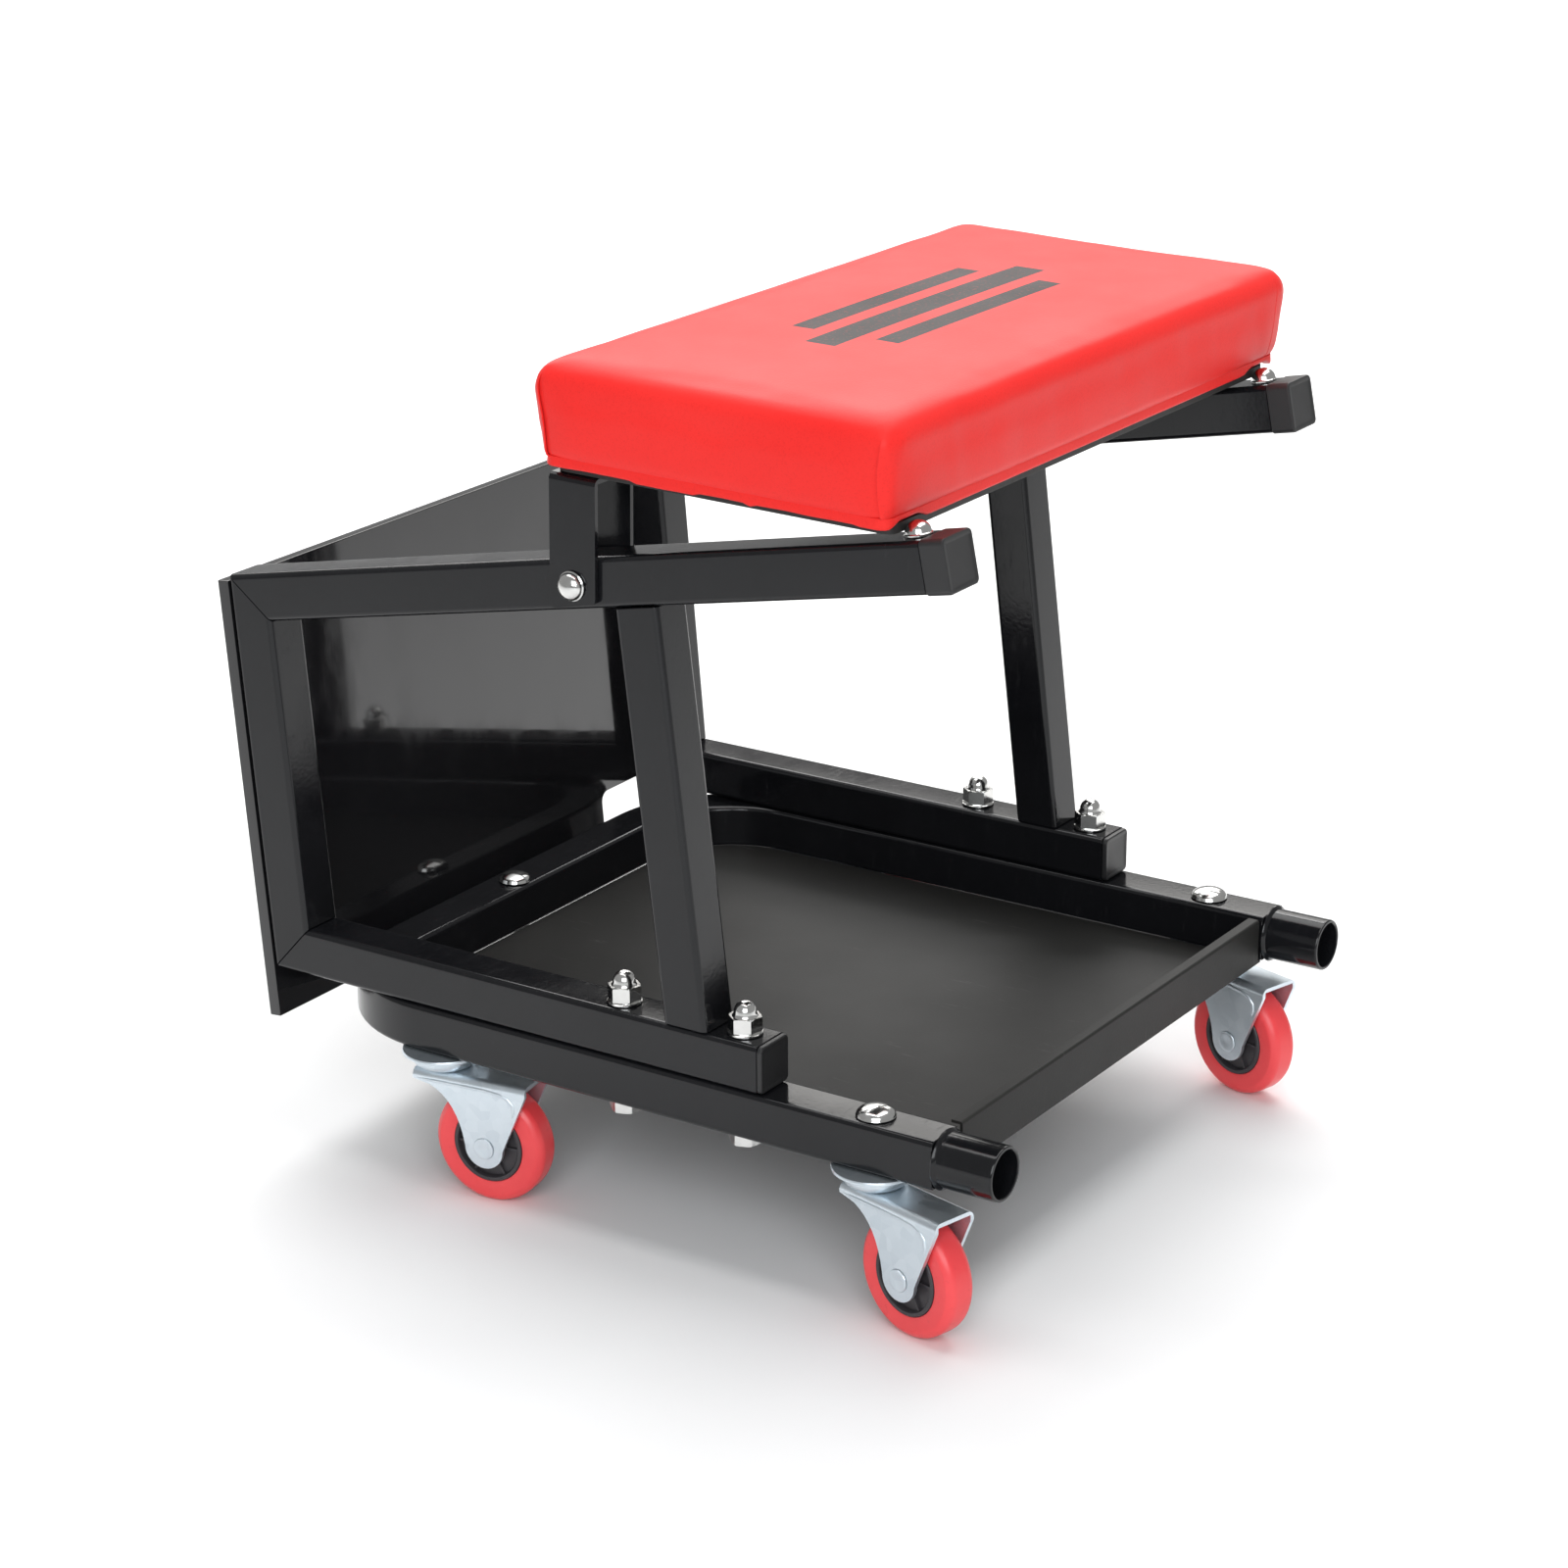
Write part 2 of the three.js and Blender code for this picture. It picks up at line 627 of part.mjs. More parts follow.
/** The fixed half of the swivel: a cup under a round plate, bored for the stem. */
function casterRace() {
  const top = CASTER_HEIGHT - GAP;
  const bottom = FORK_TOP_Z + GAP;
  const bore = STEM_RADIUS + GAP;
  return turned([
    [bore, bottom],
    [RACE_RADIUS - RACE_CHAMFER, bottom],
    [RACE_RADIUS, bottom + RACE_CHAMFER],
    [RACE_RADIUS, top - RACE_PLATE],
    [RACE_PLATE_RADIUS, top - RACE_PLATE],
    [RACE_PLATE_RADIUS, top],
    [bore, top],
    [bore, bottom],
  ]);
}

/** The stem: dome head on the base tube, shank through tube, race and fork, riveted below. */
function casterStem() {
  const headBase = BASE_TOP_Z + GAP;
  const rivetTop = FORK_TOP_Z - FORK_SHEET - GAP;
  const { radius, height } = STEM_RIVET;
  return turned([
    [0, rivetTop - height],
    [radius, rivetTop - height],
    [radius, rivetTop],
    [STEM_RADIUS, rivetTop],
    [STEM_RADIUS, headBase],
    ...domePoints(STEM_HEAD_RADIUS, headBase, STEM_HEAD_HEIGHT),
  ], 16);
}

/** The fork in its own frame: swivel axis at the origin, axle at x = CASTER_TRAIL. */
function casterFork() {
  const { startX, rise, pullX, pullZ } = FORK_THROAT;
  const side = new THREE.Shape();
  side.moveTo(FORK_TAIL, FORK_TOP_Z);
  side.lineTo(FORK_TAIL, FORK_SKIRT_Z);
  side.lineTo(startX, FORK_SKIRT_Z - rise);
  side.quadraticCurveTo(pullX, pullZ, CASTER_TRAIL - FORK_TIP_RADIUS, WHEEL_RADIUS);
  side.absarc(CASTER_TRAIL, WHEEL_RADIUS, FORK_TIP_RADIUS, Math.PI, Math.PI * 2);
  side.lineTo(FORK_NOSE, FORK_SKIRT_Z);
  side.lineTo(FORK_NOSE, FORK_TOP_Z);
  side.closePath();
  const profile = new THREE.ExtrudeGeometry(side, {
    depth: FORK_WIDTH + 2,
    bevelEnabled: false,
    curveSegments: 8,
  })
    .rotateX(Math.PI / 2)
    .translate(0, FORK_WIDTH / 2 + 1, 0);

  // Folded section across the wheel, as (across, height), with round shoulders.
  const half = FORK_WIDTH / 2;
  const section = new THREE.Shape();
  section.moveTo(-half, 0);
  section.lineTo(FORK_SHEET - half, 0);
  section.lineTo(FORK_SHEET - half, FORK_TOP_Z - FORK_SHEET);
  section.lineTo(half - FORK_SHEET, FORK_TOP_Z - FORK_SHEET);
  section.lineTo(half - FORK_SHEET, 0);
  section.lineTo(half, 0);
  const fold = half - FORK_SHOULDER;
  section.absarc(fold, FORK_TOP_Z - FORK_SHOULDER, FORK_SHOULDER, 0, Math.PI / 2);
  section.absarc(-fold, FORK_TOP_Z - FORK_SHOULDER, FORK_SHOULDER, Math.PI / 2, Math.PI);
  section.closePath();
  const channel = new THREE.ExtrudeGeometry(section, {
    depth: FORK_NOSE - FORK_TAIL,
    bevelEnabled: false,
    curveSegments: 4,
  })
    .rotateX(Math.PI / 2)
    .rotateZ(Math.PI / 2)
    .translate(FORK_TAIL, 0, 0);
  const stemHole = bar(STEM_RADIUS + 2 * RUNNING, FORK_TOP_Z - TUBE, FORK_TOP_Z + TUBE, 16);
  const axleHole = bar(AXLE_RADIUS + GAP, -FORK_WIDTH, FORK_WIDTH, 12)
    .rotateX(Math.PI / 2)
    .translate(CASTER_TRAIL, 0, WHEEL_RADIUS);
  return cut(common(profile, channel), stemHole, axleHole);
}

/** Lays a piece turned about +Z along the axle's direction at the wheel's centre. */
function onAxle(geometry) {
  return geometry.rotateX(Math.PI / 2).translate(CASTER_TRAIL, 0, WHEEL_RADIUS);
}

function casterAxle() {
  const outside = FORK_WIDTH / 2 + GAP;
  const { face, radius, edge, height } = AXLE_HEAD;
  return onAxle(turned([
    [0, -outside - height],
    [face, -outside - height],
    [radius, -outside - edge],
    [radius, -outside],
    [AXLE_RADIUS, -outside],
    [AXLE_RADIUS, outside],
    [radius, outside],
    [radius, outside + edge],
    [face, outside + height],
    [0, outside + height],
  ], 12));
}

function casterTyre() {
  const half = WHEEL_WIDTH / 2;
  const inner = HUB_RADIUS + GAP;
  const shoulder = WHEEL_RADIUS - TYRE_SHOULDER;
  return onAxle(turned([
    [inner, TYRE_DISH - half],
    [shoulder, -half],
    [WHEEL_RADIUS, TYRE_SHOULDER - half],
    [WHEEL_RADIUS, half - TYRE_SHOULDER],
    [shoulder, half],
    [inner, half - TYRE_DISH],
    [inner, TYRE_DISH - half],
  ], 32));
}

function casterHub() {
  const half = WHEEL_WIDTH / 2;
  const bore = AXLE_RADIUS + 2 * RUNNING;
  const web = half - HUB_WEB_DEPTH;
  const rim = HUB_RADIUS - HUB_RIM;
  return onAxle(turned([
    [bore, -half],
    [HUB_BOSS, -half],
    [HUB_BOSS, -web],
    [rim, -web],
    [rim, -half],
    [HUB_RADIUS, -half],
    [HUB_RADIUS, half],
    [rim, half],
    [rim, web],
    [HUB_BOSS, web],
    [HUB_BOSS, half],
    [bore, half],
    [bore, -half],
  ], 16));
}

for (const { name, side, y, yaw } of CASTERS) {
  const fixed = new THREE.Group();
  fixed.position.set(side * RAIL_X, y, 0);
  group.add(fixed);
  add(`${name}_caster_race`, casterRace(), 'zinc', fixed);
  add(`${name}_caster_stem`, casterStem(), 'bright', fixed);
  const swivel = new THREE.Group();
  swivel.rotation.z = radians(yaw);
  fixed.add(swivel);
  add(`${name}_caster_fork`, casterFork(), 'zinc', swivel);
  add(`${name}_caster_axle`, casterAxle(), 'zinc', swivel);
  add(`${name}_caster_tyre`, casterTyre(), 'tyre', swivel);
  add(`${name}_caster_hub`, casterHub(), 'hub', swivel);
}

// ---------------------------------------------------------------- seat

/** Everything on the seat is placed from its hinge line and shares its small tilt. */
const seat = new THREE.Group();
seat.position.set(0, PIVOT_Y, pivotZ);
seat.rotation.x = radians(SEAT_TILT);
group.add(seat);

const boardBase = BRACKET_RISE + GAP;
const cushionBase = boardBase + BOARD_THICKNESS + GAP;
const seatRear = SEAT_REAR_Y - PIVOT_Y;
const seatMiddle = seatRear - SEAT_DEPTH / 2;

function cushion() {
  const outline = roundedSquare(SEAT_WIDTH - 2 * SEAT_EDGE, SEAT_DEPTH - 2 * SEAT_EDGE, 5);
  return new THREE.ExtrudeGeometry(outline, {
    depth: SEAT_THICKNESS - 2 * SEAT_EDGE,
    bevelThickness: SEAT_EDGE,
    bevelSize: SEAT_EDGE,
    bevelSegments: 4,
    curveSegments: 3,
  }).translate(0, seatMiddle, cushionBase + SEAT_EDGE);
}

function seatBoard() {
  const width = SEAT_WIDTH - 2 * BOARD_INSET - 2 * SEAT_EDGE / 3;
  const depth = SEAT_DEPTH - 2 * BOARD_INSET;
  return new THREE.ExtrudeGeometry(roundedSquare(width, depth, 6), {
    depth: BOARD_THICKNESS,
    bevelEnabled: false,
    curveSegments: 3,
  }).translate(0, seatMiddle, boardBase);
}

/** An upside-down channel over the top rail, its cheeks ending along the rail's slope. */
function seatBracket() {
  const inside = TUBE / 2 + BRACKET_SIDE_GAP;
  const outside = inside + BRACKET_SHEET;
  const half = BRACKET_LENGTH / 2;
  const slope = half * Math.tan(radians(TOP_RAIL_RISE));
  const section = new THREE.Shape();
  const low = -BRACKET_DROP - 2 * slope;
  section.moveTo(-outside, low);
  section.lineTo(-inside, low);
  section.lineTo(-inside, BRACKET_RISE - BRACKET_SHEET);
  section.lineTo(inside, BRACKET_RISE - BRACKET_SHEET);
  section.lineTo(inside, low);
  section.lineTo(outside, low);
  const fold = outside - BRACKET_FOLD;
  section.absarc(fold, BRACKET_RISE - BRACKET_FOLD, BRACKET_FOLD, 0, Math.PI / 2);
  section.absarc(-fold, BRACKET_RISE - BRACKET_FOLD, BRACKET_FOLD, Math.PI / 2, Math.PI);
  section.closePath();
  const channel = new THREE.ExtrudeGeometry(section, {
    depth: BRACKET_LENGTH,
    bevelEnabled: false,
    curveSegments: 4,
  }).rotateX(Math.PI / 2).translate(0, half, 0);

  const cheek = new THREE.Shape();
  const start = half - BRACKET_CORNER;
  const [frontLow, rearLow] = [slope - BRACKET_DROP, -slope - BRACKET_DROP];
  cheek.moveTo(-half, BRACKET_RISE);
  cheek.lineTo(-half, frontLow + BRACKET_CORNER);
  cheek.quadraticCurveTo(-half, frontLow, -start, frontLow);
  cheek.lineTo(start, rearLow);
  cheek.quadraticCurveTo(half, rearLow, half, rearLow + BRACKET_CORNER);
  cheek.lineTo(half, BRACKET_RISE);
  cheek.closePath();
  const trim = new THREE.ExtrudeGeometry(cheek, {
    depth: 2 * outside + 2,
    bevelEnabled: false,
    curveSegments: 4,
  }).rotateX(Math.PI / 2).rotateZ(Math.PI / 2).translate(-outside - 1, 0, 0);
  const hole = bar(PIVOT_RADIUS + RUNNING * 2, -TUBE, TUBE, 20).rotateY(Math.PI / 2);
  return cut(common(channel, trim), hole);
}

/** The hinge bolt of one side along X, dome outside the bracket and nut inside. */
function pivotBolt(side) {
  const face = TUBE / 2 + BRACKET_SIDE_GAP + BRACKET_SHEET + GAP;
  const bolt = join(
    turned([
      [0, -face - PLAIN_NUT],
      [PIVOT_RADIUS, -face - PLAIN_NUT],
      [PIVOT_RADIUS, face],
      [PIVOT_DOME.radius, face],
      [PIVOT_DOME.radius, face + WASHER],
      ...domePoints(PIVOT_DOME.radius - WASHER_LEDGE, face + WASHER, PIVOT_DOME.height),
    ], 20),
    hexBar(PIVOT_NUT_FLATS, -face - PLAIN_NUT, -face),
  );
  return bolt
    .rotateY((side * Math.PI) / 2)
    .translate(side * RAIL_X, PIVOT_Y, pivotZ);
}

add('seat_cushion', cushion(), 'vinyl', seat);
add('seat_board', seatBoard(), 'board', seat);
for (const { name, side } of SIDES) {
  add(`seat_bracket_${name}`, seatBracket().translate(side * RAIL_X, 0, 0), 'frame', seat);
  add(`seat_pivot_bolt_${name}`, pivotBolt(side), 'bright');
}

// The origin is on the floor, under the middle of the whole seat's length.
const extent = new THREE.Box3().setFromObject(group);
group.position.y = -(extent.min.y + extent.max.y) / 2;

export default group;
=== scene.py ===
import json
import math

import bmesh
import bpy
from mathutils import Matrix, Vector, noise
from mathutils.bvhtree import BVHTree


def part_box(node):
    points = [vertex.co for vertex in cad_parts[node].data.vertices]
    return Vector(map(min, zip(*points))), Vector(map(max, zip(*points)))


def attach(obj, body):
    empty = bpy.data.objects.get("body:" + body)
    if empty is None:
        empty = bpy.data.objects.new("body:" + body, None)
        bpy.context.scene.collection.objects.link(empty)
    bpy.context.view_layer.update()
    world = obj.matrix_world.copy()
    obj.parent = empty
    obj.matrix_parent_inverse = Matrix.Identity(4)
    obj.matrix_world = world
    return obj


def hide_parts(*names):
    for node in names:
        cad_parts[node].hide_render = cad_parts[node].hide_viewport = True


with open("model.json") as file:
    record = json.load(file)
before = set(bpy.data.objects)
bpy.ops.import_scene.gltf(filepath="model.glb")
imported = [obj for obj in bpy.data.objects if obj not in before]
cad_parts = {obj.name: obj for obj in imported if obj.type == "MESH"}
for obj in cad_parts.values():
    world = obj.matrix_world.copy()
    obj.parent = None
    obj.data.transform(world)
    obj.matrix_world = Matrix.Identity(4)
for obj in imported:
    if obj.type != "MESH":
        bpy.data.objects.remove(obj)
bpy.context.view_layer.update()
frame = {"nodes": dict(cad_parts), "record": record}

mm = 0.001

# ---------------------------------------------------------------------------------------
# The base: one length of square steel tube bent into a U, open at its two front ends, and
# powder coated gloss black. Everything else is bolted or welded to it.

TUBE = 25.4 * mm
TUBE_WALL = 1.6 * mm
TUBE_CORNER = 3 * mm
BEND_RADIUS = 66 * mm
BASE_LOW, BASE_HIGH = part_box("base_frame_tube")
RAIL_X = BASE_HIGH.x - TUBE / 2
BASE_Z = (BASE_LOW.z + BASE_HIGH.z) / 2
CROSS_Y = BASE_HIGH.y - TUBE / 2
BASE_FRONT = -205 * mm  # where the base's front ends are, told from the builder's own zero
SHIFT = BASE_LOW.y - BASE_FRONT


class Wire:
    """One output of a shader node, written in sums like a number."""

    def __init__(self, finish, socket):
        self.finish = finish
        self.socket = socket

    def maths(self, operation, first, second=None):
        values = {0: first} if second is None else {0: first, 1: second}
        return self.finish.node("ShaderNodeMath", {"operation": operation}, values)

    def __add__(self, other):
        return self.maths("ADD", self, other)

    def __radd__(self, other):
        return self.maths("ADD", other, self)

    def __sub__(self, other):
        return self.maths("SUBTRACT", self, other)

    def __rsub__(self, other):
        return self.maths("SUBTRACT", other, self)

    def __mul__(self, other):
        return self.maths("MULTIPLY", self, other)

    def __rmul__(self, other):
        return self.maths("MULTIPLY", other, self)

    def __gt__(self, other):
        return self.maths("GREATER_THAN", self, other)

    def __lt__(self, other):
        return self.maths("LESS_THAN", self, other)

    def size(self):
        return self.maths("ABSOLUTE", self)


class Finish:
    """A material, and the one way its shader nodes are made."""

    def __init__(self, name):
        self.material = bpy.data.materials.new(name)
        self.material.use_nodes = True
        self.tree = self.material.node_tree
        self.shader = self.tree.nodes["Principled BSDF"]

    def feed(self, socket, value):
        if isinstance(value, Wire):
            self.tree.links.new(value.socket, socket)
        else:
            socket.default_value = value

    def node(self, kind, settings, values, output=0):
        """A node of any kind: its settings first, then the values or links of its sockets."""
        made = self.tree.nodes.new(kind)
        for name, value in settings.items():
            setattr(made, name, value)
        for key, value in values.items():
            self.feed(made.inputs[key], value)
        return Wire(self, made.outputs[output])

    def place(self):
        """Where a point is on the piece, in metres."""
        return self.node("ShaderNodeTexCoord", {}, {}, "Object")

    def reach(self, axis):
        """How far along X, Y or Z a point is, in metres."""
        return self.node("ShaderNodeSeparateXYZ", {}, {0: self.place()}, axis)

    def along(self, x, y, z):
        """The place, stretched: a large number makes a texture finer that way."""
        scale = {0: self.place(), 1: (x, y, z)}
        return self.node("ShaderNodeVectorMath", {"operation": "MULTIPLY"}, scale)

    def cloud(self, scale, detail=3, rough=0.5, place=None):
        """Soft random patches from 0 to 1, about one for each 1/scale of a metre."""
        values = {"Vector": place or self.place(), "Scale": scale, "Detail": detail, "Roughness": rough}
        return self.node("ShaderNodeTexNoise", {}, values, "Fac")

    def stretch(self, value, low, high, bottom=0.0, top=1.0):
        """value from low..high to bottom..top, held at both ends."""
        return self.node("ShaderNodeMapRange", {}, {0: value, 1: low, 2: high, 3: bottom, 4: top})

    def mix(self, share, first, second):
        """A colour that goes from first to second as share goes from 0 to 1."""
        values = {0: share, 6: self.colour(first), 7: self.colour(second)}
        return self.node("ShaderNodeMix", {"data_type": "RGBA"}, values, 2)

    def colour(self, value):
        return value if isinstance(value, Wire) else (*value, 1)

    def bumps(self, height, depth, strength=1.0, under=None):
        """A surface raised by height times depth, in metres."""
        values = {"Height": height, "Distance": depth, "Strength": strength}
        if under is not None:
            values["Normal"] = under
        return self.node("ShaderNodeBump", {}, values)

    def surface(self, **values):
        """Sets or links the shader's own sockets and gives the finished material."""
        for name, value in values.items():
            socket = self.shader.inputs[name.replace("_", " ").title().replace("Ior", "IOR")]
            self.feed(socket, self.colour(value) if name == "base_color" else value)
        return self.material


def powder_coat():
    """Gloss black powder coat: faint orange peel, dust dulling it in patches, fine rubs."""
    finish = Finish("gloss_black_powder_coat")
    peel = finish.cloud(420, 2)
    dust = finish.cloud(24, 4, 0.6)
    rubs = finish.cloud(60, 5, 0.7, finish.along(1, 6, 1))
    handled = finish.stretch(rubs, 0.56, 0.72)
    tone = finish.mix(dust, (0.0035, 0.0037, 0.0045), (0.009, 0.0093, 0.011))
    return finish.surface(
        base_color=finish.mix(handled * 0.35, tone, (0.022, 0.022, 0.024)),
        roughness=finish.stretch(dust, 0.3, 0.8, 0.1, 0.2) + handled * 0.12,
        normal=finish.bumps(peel, 0.00006, 0.5),
        ior=1.43,
    )


gloss_black = powder_coat()


def rounded_outline(width, height, radius, steps=6):
    """Points round a rectangle with round corners, anticlockwise, about the origin."""
    points = []
    for turn, (sx, sy) in enumerate(((1, 1), (-1, 1), (-1, -1), (1, -1))):
        for step in range(steps + 1):
            angle = math.radians(90 * turn + 90 * step / steps)
            x = sx * (width / 2 - radius) + radius * math.cos(angle)
            y = sy * (height / 2 - radius) + radius * math.sin(angle)
            points.append((x, y))
    return points


def ring(outline, point, across, along, plane):
    """An outline laid across a tube at a point, slid along it until it meets a cutting plane."""
    up = across.cross(along)
    placed = []
    for x, y in outline:
        corner = point + across * x + up * y
        placed.append(corner - along * ((corner - point).dot(plane) / along.dot(plane)))
    return placed


def skin(rings):
    """Quads between each ring of points and the next, as (vertices, faces)."""
    count = len(rings[0])
    faces = []
    for level in range(len(rings) - 1):
        for i in range(count):
            j = (i + 1) % count
            low, high = level * count, (level + 1) * count
            faces.append((low + i, low + j, high + j, high + i))
    return [point for one in rings for point in one], faces


def solid(name, vertices, faces, material, body, slot, *stands_for, sharp=30, rounding=0):
    """One piece: its mesh, closed and facing out, its finish, and the body it rides on."""
    mesh = bpy.data.meshes.new(name)
    mesh.from_pydata([tuple(v) for v in vertices], [], faces)
    bm = bmesh.new()
    bm.from_mesh(mesh)
    bmesh.ops.remove_doubles(bm, verts=bm.verts, dist=1e-6)
    bmesh.ops.recalc_face_normals(bm, faces=bm.faces)
    if rounding:
        bmesh.ops.dissolve_limit(bm, angle_limit=math.radians(1), verts=bm.verts, edges=bm.edges)
        edges = [e for e in bm.edges if len(e.link_faces) == 2 and e.calc_face_angle() > math.radians(28)]
        bmesh.ops.bevel(bm, geom=edges, offset=rounding, segments=2, profile=0.6,
                        affect="EDGES", clamp_overlap=True)
    bm.to_mesh(mesh)
    bm.free()
    mesh.shade_smooth()
    mesh.set_sharp_from_angle(angle=math.radians(sharp))
    piece = bpy.data.objects.new(name, mesh)
    bpy.context.scene.collection.objects.link(piece)
    mesh.materials.append(material)
    settle = piece.modifiers.new("even_shading", "WEIGHTED_NORMAL")
    settle.keep_sharp = True
    if stands_for:
        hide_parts(*stands_for)
    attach(piece, body)
    return piece


def square_tube(name, stations, *stands_for):
    """A hollow square tube through stations of (point, across, along, cutting plane)."""
    bore = TUBE - 2 * TUBE_WALL
    outside = rounded_outline(TUBE, TUBE, TUBE_CORNER)
    inside = rounded_outline(bore, bore, TUBE_CORNER - TUBE_WALL)
    # A shallow break of the cut edge keeps each end from looking razor sharp.
    edge = 0.35 * mm
    broken = rounded_outline(TUBE - 2 * edge, TUBE - 2 * edge, TUBE_CORNER - 0.3 * mm)
    first, last = stations[0], stations[-1]

    def moved(station, by):
        point, across, along, plane = station
        return (point + along * by, across, along, plane)

    rings = [ring(broken, *first), ring(outside, *moved(first, edge))]
    rings += [ring(outside, *station) for station in stations[1:-1]]
    rings += [ring(outside, *moved(last, -edge)), ring(broken, *last)]
    rings += [ring(inside, *station) for station in reversed(stations)]
    rings.append(rings[0])
    vertices, faces = skin(rings)
    return solid(name, vertices, faces, gloss_black, "base", "frame", *stands_for, sharp=24)


Z = Vector((0, 0, 1))


def base_stations():
    """Up the left leg, round both bends and back down the right leg."""
    stations = []
    front = BASE_LOW.y
    bend_steps = 16

    def add(x, y, heading):
        along = Vector((math.cos(heading), math.sin(heading), 0))
        stations.append((Vector((x, y, BASE_Z)), along.cross(Z), along, along))

    add(-RAIL_X, front, math.radians(90))
    for side, start in ((-1, 90), (1, 0)):
        for step in range(bend_steps + 1):
            turn = math.radians(start - 90 * step / bend_steps)
            x = side * (RAIL_X - BEND_RADIUS) - BEND_RADIUS * math.sin(turn)
            y = CROSS_Y - BEND_RADIUS + BEND_RADIUS * math.cos(turn)
            add(x, y, turn)
    add(RAIL_X, front, math.radians(-90))
    return stations


square_tube("base_tube", base_stations(), "base_frame_tube")

# ---------------------------------------------------------------------------------------
# The two sockets: short lengths of round tube on the front ends of the base, open at the
# front, coated with it. A ripple of weld joins each to the square tube.


def turned(profile, place, steps=48):
    """Rings of a profile of (radius, height) turned about place's own Z axis."""
    rings = []
    for step in range(steps):
        angle = math.tau * step / steps
        turn = (math.cos(angle), math.sin(angle))
        rings.append([place @ Vector((r * turn[0], r * turn[1], h)) for r, h in profile])
    return rings


def lathe(name, profile, place, material, body, slot, *stands_for, steps=48, sharp=35):
    """A turned piece. The profile runs round it in millimetres, and may start on the axis."""
    scaled = [(r * mm, h * mm) for r, h in profile]
    rings = turned(scaled, place, steps)
    rings.append(rings[0])
    vertices, faces = skin(rings)
    return solid(name, vertices, faces, material, body, slot, *stands_for, sharp=sharp)


def dome(radius, base, height, steps=6):
    """Profile points up a dome, from its rim to the axis."""
    points = []
    for step in range(steps + 1):
        angle = math.radians(90 * step / steps)
        points.append((radius * math.cos(angle), base + height * math.sin(angle)))
    return points


for side, x in (("left", -RAIL_X), ("right", RAIL_X)):
    low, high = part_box(f"front_stub_{side}")
    outer = (high.z - low.z) / 2 / mm
    length = (high.y - low.y) / mm
    place = Matrix.Translation((x, high.y, BASE_Z)) @ Matrix.Rotation(math.radians(90), 4, "X")
    bore = outer - 2
    profile = [
        (bore, length - 0.5), (bore, 0), (bore - 0.02, 0), (outer - 0.3, 0),
        (outer + 1.2, 0.1), (outer + 1.5, 0.8), (outer + 0.9, 1.9), (outer, 2.6), (outer, 3),
        (outer, length - 1.2), (outer - 0.15, length - 0.5), (outer - 0.5, length - 0.1),
        (outer - 1, length), (bore + 0.4, length),
    ]
    lathe(f"socket_{side}", profile, place, gloss_black, "base", "frame", f"front_stub_{side}")

# ---------------------------------------------------------------------------------------
# The tool tray: thin steel sheet between the base tubes, its front edge folded up and
# back into a lip with relief cuts at both ends. A duller, slightly browner black coat,
# scratched by tools.


def tray_coat():
    """Satin coat, its gloss uneven, with fine scratches along the tray in a few places."""
    finish = Finish("satin_tray_coat")
    grain = finish.cloud(900, 2)
    patches = finish.cloud(9, 4, 0.6)
    streaks = finish.cloud(30, 6, 0.75, finish.along(9, 1, 1))
    scratches = finish.stretch(streaks, 0.62, 0.66) * finish.stretch(finish.cloud(14, 2), 0.45, 0.6)
    tone = finish.mix(patches, (0.012, 0.0118, 0.0112), (0.026, 0.0255, 0.024))
    return finish.surface(
        base_color=finish.mix(scratches * 0.5, tone, (0.07, 0.069, 0.066)),
        roughness=finish.stretch(patches, 0.3, 0.75, 0.42, 0.54) + grain * 0.06,
        normal=finish.bumps(grain, 0.00008, 0.45),
        specular_ior_level=0.2,
    )


def as_built(node, name, material, body, slot, rounding, sharp=30):
    """A piece with the CAD solid's own outline, its sharp edges rounded as on the real one."""
    source = frame["nodes"][node].data
    vertices = [v.co.copy() for v in source.vertices]
    faces = [tuple(p.vertices) for p in source.polygons]
    return solid(name, vertices, faces, material, body, slot, node, rounding=rounding, sharp=sharp)


as_built("tool_tray", "tray_sheet", tray_coat(), "base", "tray", 0.3 * mm)

# ---------------------------------------------------------------------------------------
# The side frames: four lengths of the same square tube each. The lower rail, rear post
# and top rail meet at mitred corners, and the leaning strut is butted between the rails.
# They are welded, ground and coated like the base.

# Heights above the floor, and lengths told from the builder's own zero.
GAP = 0.3  # between separate pieces, in millimetres
LOWER_RAIL_Z = BASE_HIGH.z / mm + GAP
LOWER_RAIL_TOP = LOWER_RAIL_Z + TUBE / mm
LOWER_RAIL_FRONT, FRAME_REAR = -105, 200
TOP_RAIL_END_Y, TOP_RAIL_END_Z = -195, 399.1
STRUT_FOOT_Y = -63
POST_LEAN = math.radians(4.9)
TOP_RAIL_RISE = math.radians(11.2)
STRUT_LEAN = math.radians(6.8)

post_up = Vector((0, math.sin(POST_LEAN), math.cos(POST_LEAN)))
rail_back = Vector((0, math.cos(TOP_RAIL_RISE), -math.sin(TOP_RAIL_RISE)))
rail_up = Vector((0, math.sin(TOP_RAIL_RISE), math.cos(TOP_RAIL_RISE)))
Y = Vector((0, 1, 0))
X = Vector((1, 0, 0))


def side_point(x, y, z):
    """A point at x in metres, and in millimetres behind the builder's zero and above the floor."""
    return Vector((x, y * mm + SHIFT, z * mm))


def crossing(a, along_a, b, along_b):
    """Where two lines in a side frame's plane cross."""
    gap = b - a
    cross = along_a.y * along_b.z - along_a.z * along_b.y
    reach = (gap.y * along_b.z - gap.z * along_b.y) / cross
    return a + along_a * reach


